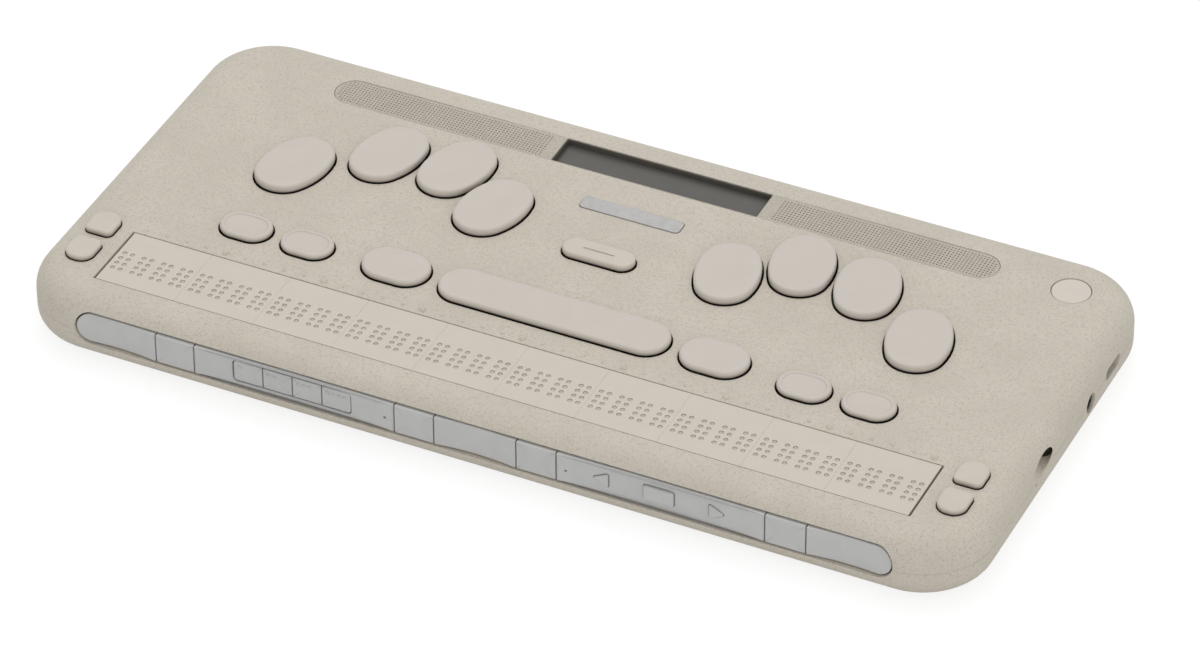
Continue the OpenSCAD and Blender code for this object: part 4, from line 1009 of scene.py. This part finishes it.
def small_front_keys():
    """Four program keys with one to four counting bumps, three media keys, and the two panels round them."""
    x0, x1 = THUMB_IN[1] + BAR_GAP / 2, THUMB_OUT[0] - BAR_GAP / 2
    pitch = PROGRAM_L + PROGRAM_GAP
    row = 3 * pitch + PROGRAM_L
    recess = placed(chain(rounded(row, PROGRAM_H, PROGRAM_R), 0.8, 10), (PROGRAM_X, BAR_Z))
    bar_panel("panel_left", -x1, -x0, [grown(recess, PROGRAM_GAP)])
    face = BAR_OUT - SCOOP
    for i in range(4):
        left, right = (PROGRAM_R if i == end else PROGRAM_INNER_R for end in (0, 3))
        box = (-PROGRAM_L / 2, PROGRAM_L / 2, -PROGRAM_H / 2, PROGRAM_H / 2)
        at = np.array([PROGRAM_X + (i - 1.5) * pitch, BAR_Z])
        outline = placed(chain(corners(*box, right, right, left, left), 1.2, 10), at)
        x = at[0] - 1.5 * PROGRAM_BUMP_STEP + PROGRAM_BUMP_STEP * np.arange(i + 1)
        centres = raised(grid_points(x, [BAR_Z + PROGRAM_BUMP_UP]), face - PROGRAM_BUMP_SINK)
        half = (PROGRAM_L - PROGRAM_H) / 2
        front_key(f"program_key_{i + 1}", outline, at, half, level(face), PROGRAM_EDGE,
                  domes(centres, PROGRAM_BUMP_R))
    shapes = [placed(media_outline(i), (x, BAR_Z)) for i, x in enumerate(MEDIA_X)]
    bar_panel("panel_right", x0, x1, [grown(shape, MEDIA_GAP) for shape in shapes])
    for i, outline in enumerate(shapes):
        at = outline[0].mean(0) if i != 1 else np.array([MEDIA_X[i], BAR_Z])
        half = (MEDIA_WIDE - MEDIA_S) / 2 if i == 1 else 0
        front_key(f"media_key_{i + 1}", outline, at, half, level(BAR_OUT), MEDIA_EDGE)


bar_keys()
small_front_keys()


# Camera, floor and light

VIEW_AZIMUTH, VIEW_ELEVATION, VIEW_ROLL = 25.549, 37.739, -0.321
VIEW_TARGET, VIEW_DISTANCE = Vector((8.03, -5.56, 10.0)) * MM, 1903.1 * MM
LENS, SENSOR, VIEW_REACH = 196.52, 36.0, 20.0


def set_camera():
    """Camera that looks at the target from an azimuth measured from the front towards the right."""
    a, e = radians(VIEW_AZIMUTH), radians(VIEW_ELEVATION)
    back = Vector((sin(a) * cos(e), -cos(a) * cos(e), sin(e)))
    data = bpy.data.cameras.new("camera")
    data.lens, data.sensor_width, data.clip_end = LENS, SENSOR, VIEW_REACH
    camera = new_object("camera", data)
    turn = back.to_track_quat("Z", "Y").to_matrix() @ Matrix.Rotation(radians(VIEW_ROLL), 3, "Z")
    camera.matrix_world = Matrix.Translation(VIEW_TARGET + back * VIEW_DISTANCE) @ turn.to_4x4()
    bpy.context.scene.camera = camera


def seen_or_lit(tree, lit, seen):
    """Shader that is seen by rays from the camera and rays that mirrors or glass send on, and lit by all others."""
    path = tree.nodes.new("ShaderNodeLightPath")
    direct = path.outputs["Is Camera Ray"]
    for name in ("Is Glossy Ray", "Is Transmission Ray"):
        direct = joined(tree, "MAXIMUM", direct, path.outputs[name])
    inputs = {0: direct, 1: lit.outputs[0], 2: seen.outputs[0]}
    return shader_node(tree, "ShaderNodeMixShader", inputs).outputs[0]


FLOOR_SIZE = 12.0
FLOOR_GLOW, FLOOR_SHADE, FLOOR_MATT = 0.82, 0.24, 0.8
WORLD_LIGHT = 0.64
LAMPS = {"soft_box": ((-0.3, 0.7, 1.7), 1.6, 11.3), "front_fill": ((1.3, -1.4, 0.7), 1.4, 6.6)}


def set_floor():
    """Pale floor: matt white to the light, and to the camera a glow that leaves the shadow visible."""
    mesh = bpy.data.meshes.new("floor")
    reach = FLOOR_SIZE / 2
    square = [(-reach, -reach, 0), (reach, -reach, 0), (reach, reach, 0), (-reach, reach, 0)]
    mesh.from_pydata(square, [], [(0, 1, 2, 3)])
    floor = new_object("floor", mesh)
    material = bpy.data.materials.new("pale_floor")
    material.use_nodes = True
    tree = material.node_tree
    tree.nodes.remove(tree.nodes["Principled BSDF"])
    matt, thin = (shader_node(tree, "ShaderNodeBsdfDiffuse", {"Color": (grey, grey, grey, 1)})
                  for grey in (FLOOR_MATT, FLOOR_SHADE))
    glow = shader_node(tree, "ShaderNodeEmission", {"Strength": FLOOR_GLOW})
    both = shader_node(tree, "ShaderNodeAddShader", {0: thin.outputs[0], 1: glow.outputs[0]})
    tree.links.new(seen_or_lit(tree, matt, both), tree.nodes["Material Output"].inputs["Surface"])
    mesh.materials.append(material)


def set_light():
    """Even white surroundings, a wide soft lamp above, to the rear and left, and a fill from the front right."""
    world = bpy.data.worlds.new("studio")
    bpy.context.scene.world = world
    world.use_nodes = True
    tree = world.node_tree
    dim, white = (shader_node(tree, "ShaderNodeBackground", {"Color": (1, 1, 1, 1), "Strength": strength})
                  for strength in (WORLD_LIGHT, 1.0))
    tree.links.new(seen_or_lit(tree, dim, white), tree.nodes["World Output"].inputs["Surface"])
    for name, (place, size, energy) in LAMPS.items():
        light = bpy.data.lights.new(name, "AREA")
        light.shape, light.size, light.energy = "DISK", size, energy
        lamp = new_object(name, light)
        place = Vector(place)
        lamp.matrix_world = Matrix.Translation(place) @ place.to_track_quat("Z", "Y").to_matrix().to_4x4()


set_camera()
set_floor()
set_light()

# Finish of every CAD node, by its slot in the record
for row in frame["record"]["subparts"]:
    node_mesh = frame["nodes"][row["node"]].data
    node_mesh.materials.clear()
    node_mesh.materials.append(BY_SLOT[row["material_slot"]])

bpy.context.scene.view_settings.view_transform = "Standard"
